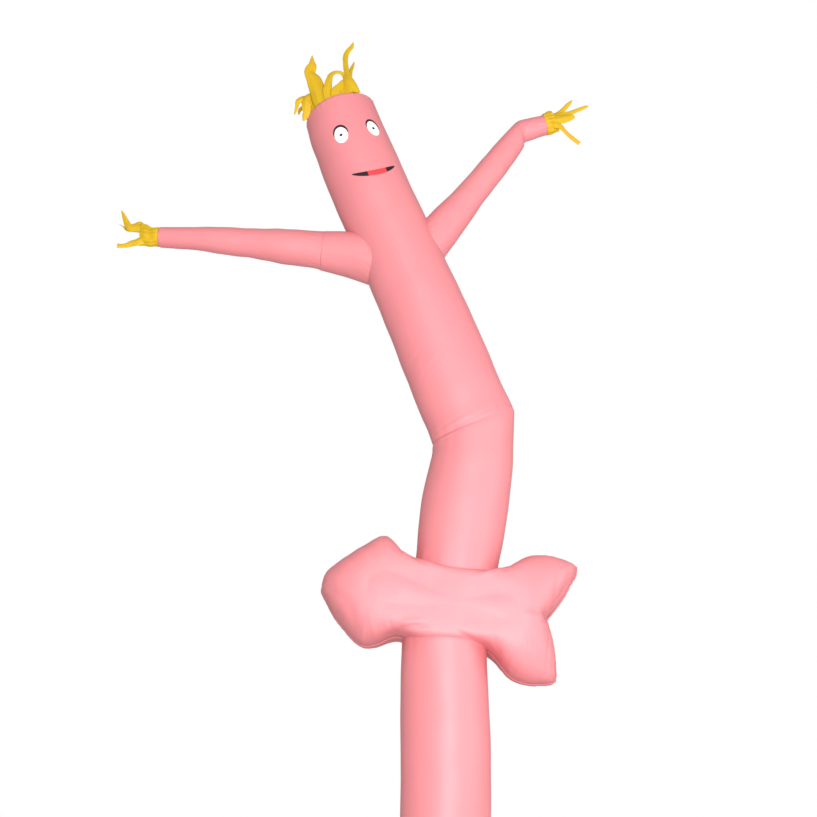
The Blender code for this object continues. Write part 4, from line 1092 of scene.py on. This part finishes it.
# %% Streamers
# A streamer's columns: x, y, z, width.
LEFT_FINGERS = (
    ((-1.721, -0.022, 4.735, 0.036), (-1.760, -0.021, 4.744, 0.043), (-1.799, -0.018, 4.751, 0.043),
     (-1.824, -0.012, 4.792, 0.035), (-1.841, -0.008, 4.829, 0.025), (-1.862, -0.004, 4.874, 0.006)),
    ((-1.725, 0.024, 4.749, 0.021), (-1.794, 0.022, 4.753, 0.017), (-1.825, 0.020, 4.759, 0.019),
     (-1.847, 0.016, 4.775, 0.009), (-1.872, 0.012, 4.789, 0.003)),
    ((-1.698, 0.010, 4.750, 0.024), (-1.723, 0.012, 4.766, 0.031), (-1.754, 0.016, 4.787, 0.047),
     (-1.778, 0.018, 4.788, 0.028), (-1.798, 0.020, 4.792, 0.005)),
    ((-1.716, -0.022, 4.666, 0.050), (-1.750, -0.020, 4.650, 0.045), (-1.778, -0.016, 4.645, 0.040),
     (-1.805, -0.013, 4.636, 0.031), (-1.833, -0.011, 4.632, 0.026), (-1.867, -0.010, 4.633, 0.028)),
)
RIGHT_FINGERS = (
    ((0.790, 0.026, 5.562, 0.034), (0.813, 0.028, 5.578, 0.034), (0.839, 0.026, 5.597, 0.030),
     (0.860, 0.022, 5.617, 0.028), (0.885, 0.018, 5.644, 0.027), (0.905, 0.014, 5.666, 0.014),
     (0.911, 0.012, 5.676, 0.003)),
    ((0.786, -0.020, 5.532, 0.040), (0.848, -0.016, 5.547, 0.038), (0.890, -0.015, 5.561, 0.032),
     (0.930, -0.014, 5.580, 0.026), (0.973, -0.012, 5.600, 0.022), (0.999, -0.010, 5.613, 0.015),
     (1.010, -0.010, 5.617, 0.003)),
    ((0.785, -0.033, 5.497, 0.058), (0.829, -0.031, 5.507, 0.064), (0.861, -0.029, 5.516, 0.056),
     (0.894, -0.026, 5.525, 0.041), (0.917, -0.024, 5.527, 0.019)),
    ((0.785, -0.030, 5.470, 0.046), (0.823, -0.035, 5.448, 0.036), (0.841, -0.035, 5.426, 0.027),
     (0.871, -0.035, 5.390, 0.025), (0.904, -0.036, 5.356, 0.025), (0.936, -0.036, 5.326, 0.024)),
)
HAIR = (
    ((-0.722, 0.030, 5.640, 0.040), (-0.775, 0.032, 5.640, 0.028), (-0.806, 0.032, 5.612, 0.022),
     (-0.810, 0.030, 5.580, 0.008)),
    ((-0.727, -0.085, 5.607, 0.057), (-0.770, -0.100, 5.603, 0.058), (-0.801, -0.105, 5.589, 0.035),
     (-0.813, -0.105, 5.538, 0.021), (-0.823, -0.104, 5.492, 0.008)),
    ((-0.707, -0.110, 5.612, 0.070), (-0.736, -0.115, 5.597, 0.075), (-0.751, -0.115, 5.549, 0.060),
     (-0.748, -0.105, 5.512, 0.049), (-0.758, -0.095, 5.482, 0.038), (-0.770, -0.090, 5.455, 0.009)),
    ((-0.651, -0.160, 5.535, 0.102), (-0.664, -0.160, 5.571, 0.105), (-0.689, -0.152, 5.658, 0.098),
     (-0.708, -0.146, 5.722, 0.092), (-0.733, -0.136, 5.785, 0.071), (-0.720, -0.130, 5.835, 0.054),
     (-0.723, -0.126, 5.873, 0.028), (-0.723, -0.122, 5.912, 0.005)),
    ((-0.602, -0.184, 5.553, 0.062), (-0.612, -0.184, 5.581, 0.060), (-0.610, -0.168, 5.701, 0.040),
     (-0.600, -0.150, 5.750, 0.032), (-0.572, -0.130, 5.783, 0.024), (-0.541, -0.120, 5.784, 0.025),
     (-0.511, -0.120, 5.748, 0.030)),
    ((-0.548, -0.188, 5.572, 0.086), (-0.556, -0.186, 5.596, 0.082), (-0.541, -0.176, 5.650, 0.042),
     (-0.530, -0.162, 5.700, 0.012)),
    ((-0.474, -0.165, 5.599, 0.118), (-0.481, -0.161, 5.625, 0.116), (-0.486, -0.157, 5.658, 0.100),
     (-0.496, -0.150, 5.704, 0.077), (-0.502, -0.132, 5.756, 0.046), (-0.515, -0.100, 5.868, 0.033),
     (-0.518, -0.085, 5.925, 0.033), (-0.505, -0.070, 5.981, 0.031), (-0.483, -0.060, 6.021, 0.027),
     (-0.471, -0.052, 6.064, 0.005)),
    ((-0.493, -0.130, 5.752, 0.046), (-0.485, -0.110, 5.798, 0.033), (-0.473, -0.090, 5.851, 0.024),
     (-0.461, -0.075, 5.900, 0.005)),
)


def streamer(table, seed):
    """A ribbon along a cubic path. Across it runs c from -1 to 1: the point is the path + half
    the width * c across + a fold whose ridge stands forward, and a wave. It bends back as c squared."""
    table = np.asarray(table, dtype=float)
    knots = np.concatenate(((0.0,), np.cumsum(np.linalg.norm(np.diff(table[:, :3], axis=0), axis=1))))
    reach = np.linspace(0.0, knots[-1], max(24, int(knots[-1] / 0.004)))
    found = cubic(table, knots, reach)
    path, width = found[:, :3], np.maximum(found[:, 3:], 0.002)
    draw = np.random.default_rng(seed)
    along = np.gradient(path, axis=0)
    along /= np.linalg.norm(along, axis=1, keepdims=True)
    twist = draw.uniform(-0.5, 0.5) * np.sin(reach / 0.09 + draw.uniform(0.0, 6.3))[:, None]
    front = np.array((0.0, -1.0, 0.0)) * np.cos(twist) + np.array((1.0, 0.0, 0.3)) * np.sin(twist)
    across = np.cross(along, front)
    across /= np.linalg.norm(across, axis=1, keepdims=True)
    front = np.cross(across, along)
    c = np.linspace(-1.0, 1.0, 17)
    half = 0.5 * width
    deep, ridge = draw.uniform(0.20, 0.36), draw.uniform(-0.35, 0.35)
    wave = 0.08 * np.sin(reach[:, None] / 0.020 + 2.6 * c + draw.uniform(0.0, 6.3))
    wave = wave * np.minimum(1.0, 0.018 / half)
    lift = half * (deep * (1.0 - np.abs(c - ridge)) + wave * (0.3 + np.abs(c))) - (half * c) ** 2 / 0.30
    return path[:, None, :] + (half * c)[..., None] * across[:, None, :] + lift[..., None] * front[:, None, :]


for name, tables, seed in (("fingers_left_streamers", LEFT_FINGERS, 81),
                           ("fingers_right_streamers", RIGHT_FINGERS, 91), ("hair_streamers_cut", HAIR, 101)):
    strands = [streamer(table, seed + number) for number, table in enumerate(tables)]
    keep(grids_piece(name, strands, flip=True, thickness=RIBBON), YELLOW, strands, closed=False)

# %% [markdown]
# The face
#
# The face is appliqué: two white ovals with small black pupils, a black crescent over each,
# and a long thin smile with a red middle and black ends. They are flat patches, so they take
# the curve of the head that they are sewn on. Every point of a patch is given by a turn round
# the head and a distance below its rim, and is lifted off the skin by the thickness of the
# cloth.

# %% Face materials
def plain_cloth(name, colour, satin):
    """A plain weave without gloss, for the patches."""
    made = bpy.data.materials.new(name)
    made.use_nodes = True
    tree = made.node_tree
    paint = Paint(tree)
    shader = tree.nodes["Principled BSDF"]
    place = paint.node("ShaderNodeTexCoord", output=3)
    cloth = paint.node("ShaderNodeUVMap", {"uv_map": "cloth"})
    u, v, _ = paint.split(cloth)
    weave = (u / 0.0016).math("PINGPONG", 0.5) * (v / 0.0016).math("PINGPONG", 0.5)
    fuzz = paint.node("ShaderNodeTexNoise", (), {"Vector": place, "Scale": 60.0, "Detail": 4.0})
    darker = tuple(0.90 * part for part in colour[:3]) + (1.0,)
    base = paint.mix(fuzz * 0.5, colour, darker)
    tilt = paint.node("ShaderNodeBump", (), {"Strength": 0.3, "Distance": 1.0,
                                             "Height": weave * 0.0004 + fuzz * 0.0006})
    tree.links.new(base.socket, shader.inputs["Base Color"])
    tree.links.new((fuzz * 0.2 + satin).socket, shader.inputs["Roughness"])
    tree.links.new(tilt.socket, shader.inputs["Normal"])
    shader.inputs["Specular IOR Level"].default_value = 0.35
    return made


WHITE = plain_cloth("white_cloth", (0.98, 0.98, 0.98, 1.0), 0.45)
BLACK = plain_cloth("black_cloth", (0.018, 0.008, 0.012, 1.0), 0.45)
RED = plain_cloth("red_cloth", (0.88, 0.055, 0.07, 1.0), 0.42)
print("patches:", WHITE.name, BLACK.name, RED.name)

# %% Patches
# Columns: name, turn round the head in degrees from the front, distance below the rim.
EYES = (("left", -17.7, 0.267), ("right", 34.4, 0.274))
EYE_HALF_WIDTH = 0.041
EYE_HALF_HEIGHT = 0.055
PUPIL_RADIUS = 0.0085
LASH_THICK = 0.0145
LASH_FROM, LASH_TO = -5.0, 168.0
MOUTH_FROM, MOUTH_TO = -25.0, 43.0
MOUTH_STATION = 0.548
MOUTH_LEAN = 0.0155
MOUTH_DIP = 0.0415
MOUTH_THICK = 0.036
MOUTH_PIECES = (("black_left", 0.0, 0.32), ("red", 0.32, 0.735), ("black_right", 0.735, 1.0))
HEAD_RADIUS = TUBE_RADIUS
PATCH = 0.0010
body_stations = body_rows_skin()[1]
HEAD_LENGTH = reach_of(CHEST_ROWS)[-1]


def on_head(turn, below, lift):
    """Point on the finished skin of the head: the body's grid is read between its rows and
    columns, and lifted along its normal."""
    normal = grid_normals(body_points, closed=True)
    station = body_stations[:, 0]
    row = np.interp(HEAD_LENGTH - below, station, np.arange(len(station)))
    column = (np.radians(turn) + FRONT) / (2.0 * math.pi) * SIDES % SIDES
    i, j = np.floor(row).astype(int), np.floor(column).astype(int)
    a, b = (row - i)[..., None], (column - j)[..., None]

    def between(grid):
        j0, j1 = j % SIDES, (j + 1) % SIDES
        return ((1 - a) * ((1 - b) * grid[i, j0] + b * grid[i, j1])
                + a * ((1 - b) * grid[i + 1, j0] + b * grid[i + 1, j1]))

    return between(body_points) + (lift + PATCH) * between(normal)


def patch_piece(name, turn, below, finish, lift=0.0006, closed=False, flip=False):
    """A patch from grids of turns and distances below the rim."""
    points = on_head(turn, below, lift)
    keep(grids_piece(name, [points], closed, flip=flip, thickness=PATCH), finish, [points], closed)


def oval_patch(name, turn, below, half_width, half_height, finish, lift=0.0006):
    """An oval: turn + width * s * cos(a), below - height * s * sin(a), for s from 0 to 1."""
    angle = np.linspace(0.0, 2.0 * math.pi, 64, endpoint=False)[None, :]
    share = np.concatenate((np.array((0.0,)), np.linspace(0.06, 1.0, 14)))[:, None]
    turns = turn + np.degrees(half_width * share * np.cos(angle) / HEAD_RADIUS)
    patch_piece(name, turns, below - half_height * share * np.sin(angle), finish, lift,
                closed=True, flip=True)


for side, turn, below in EYES:
    oval_patch("eye_white_" + side + "_skin", turn, below, EYE_HALF_WIDTH, EYE_HALF_HEIGHT, WHITE)
    oval_patch("pupil_" + side + "_skin", turn, below, PUPIL_RADIUS, PUPIL_RADIUS, BLACK, lift=0.0018)
    angle = np.radians(np.linspace(LASH_FROM, LASH_TO, 60))[None, :]
    thick = 0.0012 + (LASH_THICK - 0.0012) * np.sin(math.pi * np.linspace(0.0, 1.0, 60)[None, :]) ** 0.8
    step = 0.0006 + np.linspace(0.0, 1.0, 5)[:, None] * thick
    turns = turn + np.degrees((EYE_HALF_WIDTH + step) * np.cos(angle) / HEAD_RADIUS)
    depths = below - (EYE_HALF_HEIGHT + step) * np.sin(angle)
    patch_piece("lash_" + side + "_skin", turns, depths, BLACK, flip=True)
for name, start, stop in MOUTH_PIECES:
    share = np.linspace(start, stop, 40)[None, :]
    bow = 1.0 - (2.0 * share - 1.0) ** 2
    half_thick = 0.5 * (0.003 + (MOUTH_THICK - 0.003) * bow ** 0.7)
    middle = MOUTH_STATION + MOUTH_LEAN * (share - 0.5) + MOUTH_DIP * bow
    below = middle + np.linspace(1.0, -1.0, 7)[:, None] * half_thick
    turns = MOUTH_FROM + (MOUTH_TO - MOUTH_FROM) * share + 0.0 * below
    patch_piece("mouth_" + name + "_skin", turns, below, RED if name == "red" else BLACK)
print("patches", sum(name.startswith(("eye", "pupil", "lash", "mouth")) for name in made_pieces))

# %% [markdown]
# Which solid each skin stands for
#
# Every skin replaces the CAD solid of the same place, which stays behind it for collision.
# A sheet of cloth is listed with the size it was cut to, and the share of that size which the
# blown-up skin's area fills is printed. Nylon doesn't stretch, so the area of the cut is the
# area of the skin.

TURN = 2.0 * math.pi
SHEETS = (
    ("leg_skin", "leg_tube", "pink_nylon", TURN * 0.235, 2.32, "stretched", ()),
    ("body_skin", "body_tube", "pink_nylon", TURN * 0.245, 3.20, "stretched", ("leg_skin",)),
    ("arrow_front_skin", "arrow_front", "pink_nylon", 1.00, 1.60, "stretched", ("leg_skin",)),
    ("arrow_back_skin", "arrow_back", "pink_nylon", 1.00, 1.60, "stretched", ("leg_skin",)),
    ("arrow_head_gusset", "arrow_gusset_head", "pink_nylon", 0.100, 1.80, "stretched", ("arrow_front_skin",)),
    ("arrow_tail_gusset", "arrow_gusset_tail", "pink_nylon", 0.100, 2.20, "stretched", ("arrow_front_skin",)),
    ("arm_left_root_skin", "arm_left_root", "pink_nylon", TURN * 0.165, 0.30, "stretched", ("body_skin",)),
    ("arm_left_skin", "arm_left", "pink_nylon", TURN * 0.120, 1.01, "stretched", ("arm_left_root_skin",)),
    ("arm_right_skin", "arm_right", "pink_nylon", TURN * 0.125, 1.15, "stretched", ("body_skin",)),
    ("cuff_left_skin", "cuff_left", "yellow_nylon", 0.400, 0.130, "gathered", ("arm_left_skin",)),
    ("cuff_right_skin", "cuff_right", "yellow_nylon", 0.440, 0.090, "gathered", ("arm_right_skin",)),
    ("fingers_left_streamers", "fingers_left", "yellow_nylon", 0.200, 0.170, "hung", ("cuff_left_skin",)),
    ("fingers_right_streamers", "fingers_right", "yellow_nylon", 0.200, 0.240, "hung", ("cuff_right_skin",)),
    ("crown_skin", "crown", "yellow_nylon", 1.250, 0.130, "gathered", ("body_skin",)),
    ("hair_streamers_cut", "hair_streamers", "yellow_nylon", 0.480, 0.440, "hung", ("crown_skin",)),
    ("eye_white_left_skin", "eye_white_left", "white_cloth", 0.084, 0.112, "laid", ("body_skin",)),
    ("eye_white_right_skin", "eye_white_right", "white_cloth", 0.084, 0.112, "laid", ("body_skin",)),
    ("pupil_left_skin", "pupil_left", "black_cloth", 0.018, 0.018, "laid", ("eye_white_left_skin",)),
    ("pupil_right_skin", "pupil_right", "black_cloth", 0.018, 0.018, "laid", ("eye_white_right_skin",)),
    ("lash_left_skin", "lash_left", "black_cloth", 0.016, 0.155, "laid", ("body_skin",)),
    ("lash_right_skin", "lash_right", "black_cloth", 0.016, 0.155, "laid", ("body_skin",)),
    ("mouth_black_left_skin", "mouth_black_left", "black_cloth", 0.035, 0.092, "laid", ("body_skin",)),
    ("mouth_red_skin", "mouth_red", "red_cloth", 0.038, 0.120, "laid", ("body_skin",)),
    ("mouth_black_right_skin", "mouth_black_right", "black_cloth", 0.032, 0.078, "laid", ("body_skin",)),
)
for skin, solid, slot, width, length, held, carried_by in SHEETS:
    piece = made_pieces[skin]
    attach(piece, "root")
    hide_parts(solid)
    share = piece["area"] / (width * length)
    print(f"{skin}: {piece['area']:.4f} of {width * length:.4f}, {share:.2f}")
print("declared", len(SHEETS), "sheets")

# %% [markdown]
# Floor and light
#
# The picture has no background at all, so the world is white. The light on the figure is
# soft and comes from low in front, because the leg is brighter than the head. A pale floor
# throws some of it back up. Big area lights keep the edges of the highlights soft.

# %% Stage
floor_mesh = bpy.data.meshes.new("floor")
floor_mesh.from_pydata([(-9, -9, -0.001), (9, -9, -0.001), (9, 9, -0.001), (-9, 9, -0.001)], [],
                       [(0, 1, 2, 3)])
floor = bpy.data.objects.new("floor", floor_mesh)
bpy.context.scene.collection.objects.link(floor)
pale = bpy.data.materials.new("pale_floor")
pale.use_nodes = True
pale.node_tree.nodes["Principled BSDF"].inputs["Base Color"].default_value = (0.86, 0.86, 0.86, 1.0)
pale.node_tree.nodes["Principled BSDF"].inputs["Roughness"].default_value = 0.9
floor_mesh.materials.append(pale)

world = bpy.data.worlds.new("studio")
bpy.context.scene.world = world
world.use_nodes = True
studio = Paint(world.node_tree)
seen = studio.node("ShaderNodeLightPath", output=0)
air = world.node_tree.nodes["Background"]
air.inputs["Color"].default_value = (1.0, 1.0, 1.0, 1.0)
world.node_tree.links.new((seen * 0.50 + 0.50).socket, air.inputs["Strength"])


def soft_light(name, place, aim, size, power, colour=(1.0, 1.0, 1.0)):
    """A square area light at place, turned so that its -Z looks at aim."""
    data = bpy.data.lights.new(name, "AREA")
    data.energy, data.size, data.color = power, size, colour
    light = bpy.data.objects.new(name, data)
    light.location = place
    way = np.array(aim, dtype=float) - np.array(place)
    light.rotation_euler = (math.pi / 2 + math.atan2(way[2], math.hypot(way[0], way[1])), 0.0,
                            math.atan2(way[1], way[0]) - math.pi / 2)
    bpy.context.scene.collection.objects.link(light)
    return light


soft_light("key", (0.7, -6.4, 2.0), (0.1, 0.0, 2.9), 2.4, 360.0, (1.0, 0.97, 1.0))
soft_light("side", (4.5, -2.5, 3.0), (0.0, 0.0, 3.4), 3.0, 70.0)
soft_light("top", (-0.6, -4.2, 6.0), (-0.4, 0.0, 4.9), 1.6, 30.0)
